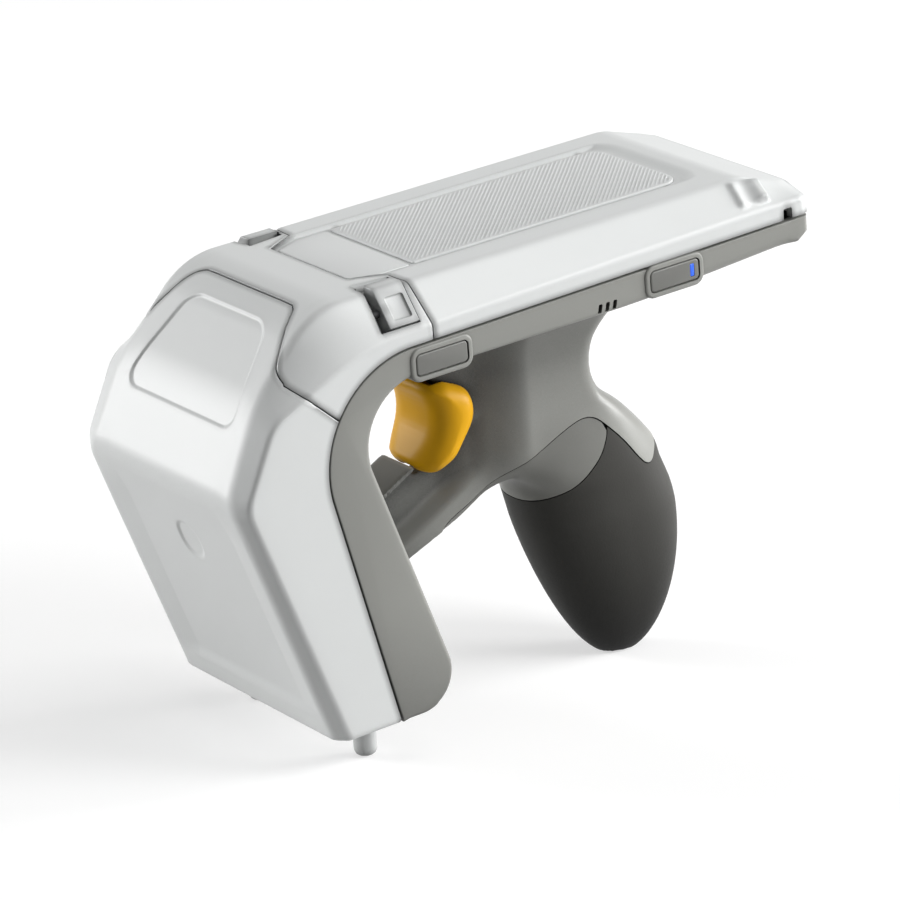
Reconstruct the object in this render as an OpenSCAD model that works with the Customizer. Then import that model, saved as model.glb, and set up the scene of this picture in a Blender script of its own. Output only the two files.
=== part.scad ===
// Hand-held reader sled: a hook-shaped body with a hinged deck cover, an antenna head,
// a closed finger loop and a pistol grip.
// Sizes are millimetres. Inside the file x runs across the unit, y runs back along the deck
// from the grip line and z runs up from the deck. stand() leans that frame onto the floor.

/* [Body] */
// Overall width across the side walls
body_w = 72; // [70:0.5:78]
// Flat width of the deck between its chamfers
deck_w = 56.6; // [55:0.2:58]
// Flat width of the antenna face between its chamfers
face_w = 65.4; // [63:0.2:67]
// Wall thickness of the moulded shells
wall = 2.2; // [2:0.1:2.4]
// Gap at a seam between two shells
seam = 0.3; // [0.2:0.05:0.4]
// How far the grey shells sit inside the white ones on each side
band_inset = 0.5; // [0.3:0.1:0.8]
// Height of the deck at the grip line above the floor
deck_h = 125.5; // [124.5:0.1:126.3]
// Lean of the deck when the unit stands, in degrees
stand_tilt = 5; // [4:0.25:5.5]

/* [Deck] */
// Reach of the deck behind the grip line
deck_rear = 94; // [92:0.5:98]
// Length of the sloped rear end of the deck
rear_slope = 17; // [14:0.5:18]
// Drop of the deck at its rear edge
rear_drop = 5.3; // [5:0.1:5.8]
// Rounding of the rear corners seen from above
rear_corner = 7; // [5:0.5:9]
// Rounding of the tray's rear corners seen from above
tray_corner = 3.5; // [3.5:0.5:6]
// Drop from the deck to the lower edge of the chamfer at the rear
edge_rear = 7.3; // [7:0.1:8]
// Drop from the deck to the lower edge of the chamfer at the hood
edge_front = 10.3; // [9.5:0.1:11]
// Drop from the deck to the seam at the rear
seam_rear = 11.9; // [11.5:0.1:12.5]
// Drop from the deck to the seam at the hood
seam_front = 14.3; // [14:0.1:15]
// Depth of the tray under the deck
tray_depth = 21.9; // [21.5:0.1:23]
// Depth of the tray at its rear end
tray_rear_depth = 18.9; // [18.5:0.1:20]
// Line where the cover meets the hood, ahead of the grip line
cover_front = 27; // [26.5:0.1:27.6]
// Front edge of the cover's tongue, ahead of the grip line
tongue_front = 36; // [35:0.5:38]
// Width of the tongue at its front edge
tongue_w = 33; // [30:0.5:35]
// Width of the tongue at its root
tongue_root_w = 43; // [41:0.5:44]
// Width of the recess for the texture pad
recess_w = 39.6; // [36:0.2:40]
// Depth of that recess
recess_depth = 1; // [0.8:0.1:1.2]
// Front edge of the texture pad, ahead of the grip line
pad_front = 17; // [15:0.5:20]
// Length of the texture pad
pad_len = 82; // [76:1:84]
// Width of the texture pad
pad_w = 35.6; // [33:0.2:35.8]
// Thickness of the texture pad
pad_t = 0.8; // [0.6:0.1:1]
// Thickness of the smooth plate let into the tongue
plate_t = 0.6; // [0.4:0.1:0.8]

/* [Head] */
// Reach of the deck to the bend of the hood, ahead of the grip line
bend_y = 55.4; // [53:0.1:56]
// Reach of the brow, where the hood steepens
brow_y = 74.8; // [74:0.1:75.5]
// Depth of the brow below the deck
brow_z = 20.6; // [20:0.1:21.5]
// Reach of the nose
nose_y = 85.2; // [84.5:0.1:87]
// Depth of the nose below the deck
nose_z = 42.1; // [41:0.1:43]
// Reach of the chin
chin_y = 61.8; // [60:0.1:63]
// Depth of the head below the deck
head_h = 110.5; // [108:0.5:111]
// Reach of the side seam's corner
seam_y = 65.9; // [65:0.1:67]
// Rounding of that seam corner
seam_r = 23; // [20:0.5:24]
// Reach of the side seam at the bottom of the head
seam_foot = 43.3; // [42:0.1:44]
// Reach of the inner edge's corner
inner_y = 52; // [51:0.1:53]
// Rounding of the inner corner
inner_r = 16; // [14:0.5:17]
// Reach of the inner edge at the bottom of the head
inner_foot = 22.4; // [22:0.1:24]
// Rounding of the lower rear corner of the head
heel_r = 10; // [8:0.5:12]
// Depth of the recessed panel on the antenna face
panel_depth = 0.8; // [0.5:0.1:1]
// Diameter of the foot pegs
peg_d = 6; // [5:0.2:6.4]
// Spacing of the foot pegs across the unit
peg_span = 47; // [40:1:52]

/* [Hinge and latches] */
// Radius of the hinge knuckles
knuckle_r = 2.1; // [2:0.05:2.3]
// Width of a hinge knuckle
knuckle_w = 11; // [9:0.5:11.5]
// Diameter of the hinge pin
hinge_pin_d = 1.8; // [1.6:0.1:2]
// Depth of the hinge axis below the deck
hinge_z = 9.2; // [9.1:0.05:9.4]
// Length of a latch block along the deck
latch_len = 8.8; // [8:0.1:9]
// Travel of a latch
latch_travel = 2; // [1.5:0.1:2.2]
// Reach of a latch block down the chamfer
latch_drop = 10.6; // [10:0.1:10.8]
// Thickness of a latch block
latch_t = 3.4; // [3:0.1:3.6]
// Diameter of the latch springs
latch_spring_d = 2; // [1.6:0.1:2.2]

/* [Buttons] */
// Length of a side key
key_len = 15.4; // [14:0.1:16]
// Height of a side key
key_h = 5.5; // [5:0.1:5.8]
// Thickness of a side key
key_t = 2.6; // [2.2:0.1:3]
// Travel of a side key
key_travel = 0.6; // [0.4:0.05:0.7]
// Gap around a side key
key_gap = 0.3; // [0.2:0.05:0.4]
// Rim of the boss around a side key
key_rim = 1.4; // [1.2:0.1:1.6]
// Place of the front key behind the grip line
front_key_y = -23; // [-23.5:0.1:-22]
// Depth of the front key below the deck
front_key_z = 19.3; // [19:0.1:19.8]
// Place of the rear key behind the grip line
rear_key_y = 49.5; // [45:0.5:54]
// Depth of the rear key below the deck
rear_key_z = 17.3; // [17:0.1:17.8]

/* [Handle] */
// Width of the neck
neck_w = 28; // [27:0.2:30]
// Width of the strut that closes the finger loop
strut_w = 16; // [14:0.5:18]
// Width of the grip at its widest
grip_w = 34; // [33:0.5:37]
// Depth of the grip front to back at its widest
grip_d = 47; // [45:0.5:48]
// Width of the trigger
trigger_w = 22; // [20:0.2:22.6]
// Pull of the trigger, in degrees
trigger_pull = 8; // [6:0.5:8]
// Diameter of the trigger pin
trigger_pin_d = 2.5; // [2:0.1:3]
// Width of the trigger lug on its pin
lug_w = 7; // [6:0.2:8]

/* [Inside] */
// Width of the battery
battery_w = 46; // [42:0.5:48]
// Length of the battery
battery_len = 74; // [68:1:76]
// Thickness of the battery
battery_t = 8; // [7:0.1:8.4]
// Width of the main board
board_w = 48; // [44:0.5:50]
// Length of the main board
board_len = 92; // [84:1:94]
// Thickness of the circuit boards
board_t = 1.6; // [1.2:0.1:1.8]
// Side of the square antenna board
antenna_side = 48; // [44:1:52]
// Thickness of the antenna board
antenna_t = 3; // [2:0.2:4]
// Diameter of the antenna lead
lead_d = 2; // [1.4:0.1:2.4]

/* [Hidden] */
$fn = 48;

white = [0.88, 0.89, 0.89];
grey = [0.55, 0.55, 0.53];
dark = [0.20, 0.20, 0.19];
steel = [0.72, 0.73, 0.75];
half_w = body_w / 2;
band_w = body_w - 2 * band_inset;
room_w = band_w - 2 * wall;
half_deck = deck_w / 2;
eps = 0.05;
far = 300;

// Plane geometry in the side view, points as [y, z]
function unit(v) = v / norm(v);
function flat(p) = [p[0], p[1]];
function turn_left(v) = [-v[1], v[0]];
function cross2(a, b) = a[0] * b[1] - a[1] * b[0];
function meet(p, d, q, e) = p + d * cross2(q - p, e) / cross2(d, e);
function arc_centre(a, p, b, r) =
    let (u = unit(a - p), v = unit(b - p))
    p + unit(u + v) * r / sin(acos(u * v) / 2);
function corner(a, p, b, r, n) =
    let (u = unit(a - p), v = unit(b - p), reach = r / tan(acos(u * v) / 2),
        c = arc_centre(a, p, b, r), s = p + u * reach - c, e = p + v * reach - c,
        from = atan2(s[1], s[0]), span = (atan2(e[1], e[0]) - from + 540) % 360 - 180)
    [for (i = [0:n]) c + r * [cos(from + span * i / n), sin(from + span * i / n)]];

// A closed outline from corners [y, z, radius, steps]; a corner with no radius stays sharp
function rounded(p) =
    let (n = len(p))
    [for (i = [0:n - 1]) each
        len(p[i]) < 3 ? [flat(p[i])]
        : corner(flat(p[(i + n - 1) % n]), flat(p[i]), flat(p[(i + 1) % n]), p[i][2], p[i][3])];

// The same outline with edge i (from corner i to the next) moved to its left by d[i]
function moved_edges(p, d) =
    let (n = len(p))
    [for (i = [0:n - 1])
        let (a = flat(p[(i + n - 1) % n]), q = flat(p[i]), b = flat(p[(i + 1) % n]),
            u = unit(q - a), v = unit(b - q), da = d[(i + n - 1) % n], db = d[i],
            spot = meet(q + turn_left(u) * da, u, q + turn_left(v) * db, v))
        len(p[i]) < 3 ? spot
        : [spot[0], spot[1], p[i][2] - sign(cross2(u, v)) * (da + db) / 2, p[i][3]]];

// Solids from outlines: seen from the side, from the front and from above
module side_prism(outline, w) {
    translate([-w / 2, 0, 0]) rotate([90, 0, 90]) linear_extrude(w) polygon(outline);
}
module front_prism(outline, y0, y1) {
    translate([0, y1, 0]) rotate([90, 0, 0]) linear_extrude(y1 - y0) polygon(outline);
}
module plan_prism(outline, z0, z1) {
    translate([0, 0, z0]) linear_extrude(z1 - z0) polygon(outline);
}
module block(x, y, z) {
    translate([x[0], y[0], z[0]]) cube([x[1] - x[0], y[1] - y[0], z[1] - z[0]]);
}
module cross_bar(y, z, r, x) {
    translate([x[0], y, z]) rotate([0, 90, 0]) cylinder(h = x[1] - x[0], r = r);
}

// A closed skin through rings of equal count, first and last rings flat
module loft(rings) {
    m = len(rings[0]);
    n = len(rings);
    sides = [for (i = [0:n - 2], j = [0:m - 1]) each
        let (a = i * m + j, b = i * m + (j + 1) % m)
        [[a, b + m, a + m], [a, b, b + m]]];
    caps = [[for (j = [m - 1:-1:0]) j], [for (j = [0:m - 1]) (n - 1) * m + j]];
    polyhedron([for (ring = rings) each ring], concat(sides, caps));
}

// Lines of the white shell in the side view, from the rear edge to the bottom of the head
bend_r = 22;
brow_r = 38;
nose_r = 10;
crease_r = 15;
bend_steps = 6;
brow_steps = 4;
nose_steps = 6;
crease_steps = 3;
rear_edge = [deck_rear, -rear_drop];
crease = [deck_rear - rear_slope, 0];
bend = [-bend_y, 0];
brow = [-brow_y, -brow_z];
nose = [-nose_y, -nose_z];
chin = [-chin_y, -head_h];
face_line = concat([rear_edge], corner(rear_edge, crease, bend, crease_r, crease_steps),
    corner(crease, bend, brow, bend_r, bend_steps), corner(bend, brow, nose, brow_r, brow_steps),
    corner(brow, nose, chin, nose_r, nose_steps), [chin]);
deck_steps = crease_steps + 2;
edge_bend = [-44, -edge_front];
edge_brow = [1.4 - brow_y, -brow_z - 2.4];
edge_nose = [2.6 - nose_y, -nose_z + 0.1];
edge_chin = [3.1 - chin_y, -head_h];
edge_slope = (edge_rear - edge_front) / (deck_rear + 44);
edge_line = concat(
    [for (i = [0:deck_steps - 1])
        [face_line[i][0], -edge_front - edge_slope * (face_line[i][0] + 44)]],
    corner([0, -edge_front - edge_slope * 44], edge_bend, edge_brow, 60, bend_steps),
    corner(edge_bend, edge_brow, edge_nose, 9, brow_steps),
    corner(edge_brow, edge_nose, edge_chin, 8, nose_steps), [edge_chin]);
seam_rear_end = [deck_rear, -seam_rear];
seam_corner = [-seam_y, -seam_front];
seam_end = [-seam_foot, -head_h];
seam_steps = bend_steps + brow_steps + nose_steps + 2;
seam_slope = (seam_front - seam_rear) / (deck_rear + seam_y);
seam_line = concat(
    [for (i = [0:deck_steps - 1])
        [face_line[i][0], -seam_rear - seam_slope * (deck_rear - face_line[i][0])]],
    corner(seam_rear_end, seam_corner, seam_end, seam_r, seam_steps), [seam_end]);
stations = len(face_line);
brow_station = deck_steps + bend_steps + brow_steps + 1;
function blend_in(i) = max(0, min(1, (i - brow_station + 1) / (stations - brow_station - 2)));
function face_half(i) = half_deck + (face_w - deck_w) / 2 * blend_in(i);
function inward(line, i) =
    turn_left(unit(line[min(i + 1, stations - 1)] - line[max(i - 1, 0)]));
function at_x(x, p) = [x, p[0], p[1]];
function six_ring(outer, low, mid, top_half, top) = [at_x(-outer, low), at_x(-outer, mid),
    at_x(-top_half, top), at_x(top_half, top), at_x(outer, mid), at_x(outer, low)];
// Keeps the ends of the hollow one wall inside the ends of the shell
function end_stop(i, p) = i == 0 ? [deck_rear - wall, p[1]]
    : i == stations - 1 ? [p[0], wall - head_h] : p;
mitre = wall * tan(22.5);
overrun = 3;
module shell_outer() {
    loft([for (i = [0:stations - 1])
        six_ring(half_w, seam_line[i], edge_line[i], face_half(i), face_line[i])]);
}
module shell_inner() {
    loft([for (i = [0:stations - 1])
        six_ring(half_w - wall,
            end_stop(i, seam_line[i] + overrun * inward(seam_line, i)),
            end_stop(i, edge_line[i] + mitre * inward(edge_line, i)),
            face_half(i) - mitre,
            end_stop(i, face_line[i] + wall * inward(face_line, i)))]);
}
// What the rounded rear corners take off, for walls set in by some distance
corner_steps = 5;
function corner_cut(inset, radius) =
    let (r = radius - inset, c = [half_w - radius, deck_rear - radius],
        v = [for (k = [0:corner_steps - 1]) let (t = 90 * (k + 0.5) / corner_steps)
            c + r / cos(45 / corner_steps) * [cos(t), sin(t)]],
        n = len(v) - 1)
    concat([v[0] + 3 * unit(v[0] - v[1])], v, [v[n] + 3 * unit(v[n] - v[n - 1])],
        [[half_w + 9, deck_rear + 9]]);
module rear_corners(inset, radius) {
    for (s = [0, 1]) mirror([s, 0, 0]) plan_prism(corner_cut(inset, radius), -60, 20);
}
module white_shell() {
    difference() {
        shell_outer();
        difference() {
            shell_inner();
            rear_corners(wall, rear_corner);
        }
    }
}

// Seams of the white shell: the cover's front edge from above, the hood's tab square to its slope
function cover_plan(gap) = [[-far, far], [far, far], [far, gap - cover_front],
    [tongue_root_w / 2 - gap, gap - cover_front], [tongue_w / 2 - gap, gap - tongue_front],
    [gap - tongue_w / 2, gap - tongue_front], [gap - tongue_root_w / 2, gap - cover_front],
    [-far, gap - cover_front]];
hood_slope = atan2(brow_z, brow_y - bend_y);
tab_top = bend_y * cos(hood_slope) + 1;
tab_drop = 15.8;
tab_half = 19;
tab_root_half = 29.5;
module head_region(gap) {
    a = tab_top + gap;
    b = tab_top + tab_drop + gap;
    rotate([180 + hood_slope, 0, 0]) translate([0, 0, -far / 2]) linear_extrude(far)
        polygon([[-far, b], [-tab_root_half, b], [-tab_half, a], [tab_half, a],
            [tab_root_half, b], [far, b], [far, far], [-far, far]]);
}

// Hinge at the rear edge of the deck
hinge_y = deck_rear - 0.8;
hinge_gap = 0.3;
pin_play = 0.05;
knuckle_step = knuckle_w + hinge_gap;
cover_knuckles = [-knuckle_step, knuckle_step];
tray_knuckles = [-2 * knuckle_step, 0, 2 * knuckle_step];
module knuckle(x, r, w) {
    cross_bar(hinge_y, -hinge_z, r, [x - w / 2, x + w / 2]);
}

// Outlines on the deck
recess_side = (recess_w - pad_w) / 2;
pad_corner = 5;
function pad_plan(grow) = rounded([[-pad_w / 2 - grow, -pad_front - grow],
    [pad_w / 2 + grow, -pad_front - grow],
    [pad_w / 2 + grow, pad_len - pad_front + grow, pad_corner + grow, 5],
    [-pad_w / 2 - grow, pad_len - pad_front + grow, pad_corner + grow, 5]]);
plate_margin = 1.2;
function plate_plan(gap) = let (m = plate_margin + gap)
    [[m - tongue_w / 2, m - tongue_front], [tongue_w / 2 - m, m - tongue_front],
    [tongue_w / 2 + plate_margin - m, -pad_front - recess_side - m],
    [m - plate_margin - tongue_w / 2, -pad_front - recess_side - m]];
notch_y = [deck_rear - 8.6, deck_rear - 6.1];
notch_z = [-seam_rear + 0.8, -edge_rear - 2];

module top_cover() color(white) {
    difference() {
        intersection() {
            white_shell();
            plan_prism(cover_plan(seam / 2), -far, far);
        }
        rear_corners(0, rear_corner);
        plan_prism(pad_plan(recess_side), -recess_depth, far);
        plan_prism(plate_plan(0), -plate_t, far);
        for (x = tray_knuckles) {
            knuckle(x, knuckle_r + hinge_gap, knuckle_w + 2 * hinge_gap);
            block([x - knuckle_w / 2 - hinge_gap, x + knuckle_w / 2 + hinge_gap],
                [hinge_y - knuckle_r - hinge_gap, far], [-far, -hinge_z]);
        }
        for (s = [-1, 1])
            block([s * half_w - wall - 1, s * half_w + wall + 1], notch_y, notch_z);
        for (x = cover_knuckles) knuckle(x, hinge_pin_d / 2 + pin_play, knuckle_w + 1);
    }
    for (x = cover_knuckles) difference() {
        knuckle(x, knuckle_r, knuckle_w);
        knuckle(x, hinge_pin_d / 2 + pin_play, knuckle_w + 1);
    }
}

module texture_pad() color([0.80, 0.81, 0.81])
    plan_prism(pad_plan(0), -recess_depth, pad_t - recess_depth);

module deck_plate() color([0.85, 0.86, 0.86]) plan_prism(plate_plan(eps), -plate_t, 0);

// The battery well's rim, with the seal that the cover presses onto it
well_wall = 1.5;
battery_play = 0.4;
well_mid = (pad_len - 2 * pad_front) / 2;
well_half_w = battery_w / 2 + battery_play + well_wall;
well_half_l = battery_len / 2 + battery_play + well_wall;
seal_t = 1.6;
seal_w = 1.4;
seal_squeeze = 0.2;
well_top = -wall - seal_t - seal_squeeze;
function well_plan(inset) = [[inset - well_half_w, well_mid - well_half_l + inset],
    [well_half_w - inset, well_mid - well_half_l + inset],
    [well_half_w - inset, well_mid + well_half_l - inset],
    [inset - well_half_w, well_mid + well_half_l - inset]];
module cover_seal() color(dark) difference() {
    plan_prism(well_plan(0), -wall - seal_t, -wall);
    plan_prism(well_plan(seal_w), -far, 0);
}

module hinge_pin() color(steel) {
    reach = 2 * knuckle_step + knuckle_w / 2 - 1;
    cross_bar(hinge_y, -hinge_z, hinge_pin_d / 2, [-reach, reach]);
}

// Latch blocks on the chamfer, drawn on the +x side in the front view
latch_rear = cover_front + 1.3;
latch_edge = edge_front - 0.6;
chamfer_run = unit([half_w - half_deck, -latch_edge]);
chamfer_out = turn_left(chamfer_run);
latch_in = 3.7;
latch_proud = 0.5;
latch_gap = 0.35;
function on_chamfer(s, d) = [half_deck, 0] + s * chamfer_run - d * chamfer_out;
function latch_outline(grow) = let (foot = on_chamfer(1.5, latch_t + grow))
    [[half_deck - latch_in - grow, latch_proud], [half_deck + latch_proud / 2, latch_proud],
    on_chamfer(latch_drop + grow, -latch_proud), on_chamfer(latch_drop + grow, latch_t + grow),
    foot, [half_deck - latch_in - grow, foot[1]]];
function pocket_outline() = let (p = latch_outline(latch_gap))
    [[p[0][0], far], p[5], p[4], p[3], p[3] + chamfer_out * far, [far, far]];
boss_wall = 2;
function boss_outline() = let (p = latch_outline(latch_gap + boss_wall), skin = wall / 2)
    [[p[0][0], -skin], on_chamfer(0, skin) - [skin / 2, 0], on_chamfer(latch_drop + 1.6, skin),
    p[3] + chamfer_run * 0.4, p[4], p[5]];
pocket_y = [-latch_rear - latch_len - latch_travel - latch_gap, latch_gap - latch_rear];
trough_depth = 1.5;
trough_plan = [[half_deck - 8.5, pocket_y[0] + 1], [half_deck - 4.6, pocket_y[1]],
    [half_deck - latch_in + 1, pocket_y[1]], [half_deck - latch_in + 1, pocket_y[0] + 1]];
thumb_depth = 0.3;
thumb_run = [2.6, 8.8];
thumb_rim = 1.4;
latch_spring_play = 0.35;
latch_spring_wall = 0.4;
spring_reach = 4.4;
spring_spot = on_chamfer(5.5, latch_t / 2);

module front_hood() color(white) difference() {
    union() {
        difference() {
            white_shell();
            plan_prism(cover_plan(-seam / 2), -far, far);
            head_region(-seam / 2);
        }
        for (s = [0, 1]) mirror([s, 0, 0])
            front_prism(boss_outline(), pocket_y[0] - boss_wall, seam / -2 - cover_front);
    }
    for (s = [0, 1]) mirror([s, 0, 0]) {
        front_prism(pocket_outline(), pocket_y[0], pocket_y[1]);
        plan_prism(trough_plan, -trough_depth, far);
    }
}

module latch() difference() {
    front_prism(latch_outline(0), -latch_rear - latch_len, -latch_rear);
    front_prism([on_chamfer(thumb_run[0], thumb_depth), on_chamfer(thumb_run[1], thumb_depth),
        on_chamfer(thumb_run[1], -far), on_chamfer(thumb_run[0], -far)],
        thumb_rim - latch_rear - latch_len, -latch_rear - thumb_rim);
    translate([spring_spot[0], -latch_rear - latch_len - 1, spring_spot[1]]) rotate([-90, 0, 0])
        cylinder(h = spring_reach + 1.3, d = latch_spring_d + 2 * latch_spring_play);
}
module latch_right() color([0.84, 0.85, 0.85]) latch();
module latch_left() color([0.84, 0.85, 0.85]) mirror([1, 0, 0]) latch();
module latch_spring() translate([spring_spot[0], pocket_y[0], spring_spot[1]])
    rotate([-90, 0, 0]) difference() {
        cylinder(h = spring_reach, d = latch_spring_d);
        translate([0, 0, -1])
            cylinder(h = spring_reach + 2, d = latch_spring_d - 2 * latch_spring_wall);
    }
module latch_spring_right() color(steel) latch_spring();
module latch_spring_left() color(steel) mirror([1, 0, 0]) latch_spring();

// The flat antenna face: local x across, y up the face, z out of it
face_dir = unit(chin - nose);
face_len = norm(chin - nose);
module on_face() {
    translate([0, nose[0], nose[1]])
        rotate([atan2(-face_dir[1], -face_dir[0]), 0, 0]) children();
}
panel_half_top = 28.2;
panel_half_low = 25.6;
module antenna_cover() color(white) difference() {
    intersection() {
        white_shell();
        head_region(seam / 2);
    }
    on_face() translate([0, 0, -panel_depth]) linear_extrude(far)
        polygon([[-panel_half_low, 8 - face_len], [panel_half_low, 8 - face_len],
            [panel_half_top, -9], [-panel_half_top, -9]]);
}

// Grey shells under the seam: the back of the head and the tray under the deck
inner_corner = [-inner_y, -tray_depth];
inner_end = [-inner_foot, -head_h];
inner_dir = unit(inner_end - inner_corner);
tray_slope_y = deck_rear - 50;
grey_corners = [[deck_rear, -seam_rear - seam],
    [seam_corner[0] + seam, seam_corner[1] - seam, seam_r - seam, seam_steps],
    [seam_end[0] + seam, seam_end[1]], [inner_end[0], inner_end[1], heel_r, 8],
    [inner_corner[0], inner_corner[1], inner_r, 12], [tray_slope_y, -tray_depth],
    [deck_rear, -tray_rear_depth, 3.5, 5]];
grey_hollow = moved_edges(grey_corners, [-overrun, -overrun, wall, wall, wall, wall, wall]);
split_y = -32.6;
module tray_side() {
    block([-far, far], [split_y, far], [-2 * tray_depth, far]);
}
module grey_shell() difference() {
    side_prism(rounded(grey_corners), band_w);
    rear_corners(band_inset, tray_corner);
    difference() {
        side_prism(rounded(grey_hollow), room_w);
        rear_corners(band_inset + wall, tray_corner);
    }
}

// Antenna stack: ground plate on posts from the back of the head, antenna board in front of it
stack_y = -face_len * 0.54;
plate_t_rf = 1;
stack_z = -9;
post_half = antenna_side / 2 - 5;
post_r = 3;
screw_d = 2.4;
screw_play = 0.05;
screw_len = 8;
module posts(r, z0, z1) {
    for (x = [-post_half, post_half], y = [-post_half, post_half])
        translate([x, stack_y + y, z0]) cylinder(h = z1 - z0, r = r);
}
module head_back() color(grey) difference() {
    union() {
        difference() {
            grey_shell();
            tray_side();
        }
        intersection() {
            on_face() posts(post_r, -60, stack_z - plate_t_rf);
            side_prism(rounded(grey_hollow), room_w);
        }
        intersection() {
            on_face() posts(post_r, -60, stack_z - plate_t_rf);
            side_prism(rounded(grey_corners), room_w);
        }
    }
    on_face() posts(screw_d / 2 + screw_play, stack_z - plate_t_rf - screw_len, 0);
}
module ground_plate() color(steel) on_face() difference() {
    translate([0, stack_y, stack_z - plate_t_rf / 2])
        cube([antenna_side + 8, antenna_side + 8, plate_t_rf], center = true);
    posts(screw_d / 2 + screw_play, stack_z - 5, stack_z + 5);
}
module antenna_board() color([0.15, 0.35, 0.25]) on_face() difference() {
    translate([0, stack_y, stack_z + antenna_t / 2])
        cube([antenna_side, antenna_side, antenna_t], center = true);
    posts(screw_d / 2 + screw_play, stack_z - 5, stack_z + 9);
}
module antenna_screws() color(steel) on_face() {
    posts(screw_d / 2, stack_z - plate_t_rf - screw_len + 0.5, stack_z + antenna_t);
    posts(screw_d * 0.9, stack_z + antenna_t, stack_z + antenna_t + 1.4);
}

// Pegs reach from the bottom of the head to the floor
floor_z = function(y) -(deck_h + y * sin(stand_tilt)) / cos(stand_tilt);
peg_y = -seam_foot - peg_d / 2 - 0.4;
module foot_pegs() color(white) difference() {
    for (s = [-1, 1]) translate([s * peg_span / 2, peg_y, floor_z(peg_y) - 2])
        cylinder(h = -head_h - floor_z(peg_y) + 2, d = peg_d);
    below_floor();
}
module below_floor() {
    translate([0, 0, -deck_h / cos(stand_tilt)]) rotate([-stand_tilt, 0, 0])
        translate([-far / 2, -far / 2, -far]) cube([far, far, far]);
}

// Side keys in raised bosses on the right-hand wall
key_corner = 1.2;
boss_back = 6.6;
function key_outline(y, z, grow) = let (a = key_len / 2 + grow, b = key_h / 2 + grow)
    rounded([[y - a, -z - b, key_corner + grow, 4], [y + a, -z - b, key_corner + grow, 4],
        [y + a, -z + b, key_corner + grow, 4], [y - a, -z + b, key_corner + grow, 4]]);
module key_prism(y, z, grow, x0, x1) {
    translate([(x0 + x1) / 2, 0, 0]) side_prism(key_outline(y, z, grow), x1 - x0);
}
keys = [[front_key_y, front_key_z], [rear_key_y, rear_key_z]];
switch_t = 1.4;
key_back = half_w - key_t;
switch_face = key_back - key_travel - 0.2;
pocket_back = switch_face - switch_t;
lamp_y = rear_key_y + key_len / 2 - 2.2;
lamp_w = 1.4;
lamp_h = 3.4;
vent_pitch = 2.3;
vent_y = rear_key_y - 21.3;
vent_z = -tray_depth + 1.9;
board_z = -tray_depth + wall + 2;
board_y = [well_mid - board_len / 2, well_mid + board_len / 2];
post_x = board_w / 2 - 3.5;
board_post_y = [board_y[0] + 4, board_y[1] - 16];
board_screw_d = 2;
module board_posts(r, z0, z1) {
    for (x = [-post_x, post_x], y = board_post_y)
        translate([x, y, z0]) cylinder(h = z1 - z0, r = r);
}
module tray() color(grey) difference() {
    union() {
        difference() {
            intersection() {
                grey_shell();
                tray_side();
            }
            for (i = [-1:1]) translate([half_w, vent_y + i * vent_pitch, vent_z])
                rotate([12, 0, 0]) cube([4 * wall, 1.2, 2.4], center = true);
        }
        for (k = keys) key_prism(k[0], k[1], key_gap + key_rim, half_w - boss_back, half_w);
        board_posts(2.4, -tray_depth + wall / 2, board_z);
        for (x = tray_knuckles) {
            knuckle(x, knuckle_r, knuckle_w);
            block([x - knuckle_w / 2, x + knuckle_w / 2],
                [hinge_y - knuckle_r, deck_rear - band_inset], [-seam_rear - wall, -hinge_z]);
        }
    }
    for (k = keys) key_prism(k[0], k[1], key_gap, pocket_back, far);
    for (x = tray_knuckles) knuckle(x, hinge_pin_d / 2, knuckle_w + 1);
    board_posts(board_screw_d / 2 + screw_play, -tray_depth + wall / 2 + 0.6, far);
}
module fn_button() color([0.50, 0.50, 0.48])
    key_prism(front_key_y, front_key_z, 0, key_back, half_w);
module lamp(grow) {
    block([key_back - 1, half_w + 1], [lamp_y - lamp_w / 2 - grow, lamp_y + lamp_w / 2 + grow],
        [-rear_key_z - lamp_h / 2 - grow, -rear_key_z + lamp_h / 2 + grow]);
}
module power_button() color([0.50, 0.50, 0.48]) difference() {
    key_prism(rear_key_y, rear_key_z, 0, key_back, half_w);
    lamp(0);
}
module led_lens() color([0.13, 0.38, 0.95]) intersection() {
    lamp(-eps);
    key_prism(rear_key_y, rear_key_z, 0, key_back, half_w);
}
module key_switches() color(dark) for (k = keys)
    block([pocket_back, switch_face], [k[0] - 3, k[0] + 3], [-k[1] - 1.8, -k[1] + 1.8]);

// Handle: neck and strut in one frame, with a core that carries the grip
strut_lean = 27;
strut_under_lean = 22.2;
strut_top = [-16.6, -60];
strut_under = [10, -71];
joint_gap = 0.05;
head_join = inner_corner + joint_gap * [-inner_dir[1], inner_dir[0]];
strut_top_end = meet(strut_top, [cos(strut_lean), sin(strut_lean)], head_join, inner_dir);
strut_low_end = meet(strut_under, [cos(strut_under_lean), sin(strut_under_lean)],
    head_join, inner_dir);
neck_top = -tray_depth - joint_gap;
collar_start = strut_under - 16.2 * [1, tan(strut_under_lean)];
seam_apex = [35.5, -57.2];
collar_rear = [41, -61.2];
tail_low = [55, -75.2];
tail_rear = [62.5, -71];
saddle = [37.6, -41];
mouth = [2.2, -46.5];
neck_outline = rounded([[-21, neck_top], [-10.5, -35, 5, 5], [mouth[0], mouth[1], 9, 8],
    [-4, -53.6, 3, 3], strut_top_end, strut_low_end, collar_start,
    [seam_apex[0], seam_apex[1], 5, 5], collar_rear, [tail_low[0], tail_low[1], 2.5, 5],
    tail_rear, [saddle[0], saddle[1], 11, 8], [54, neck_top]]);
neck_half = neck_w / 2;
strut_half = strut_w / 2;
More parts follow.
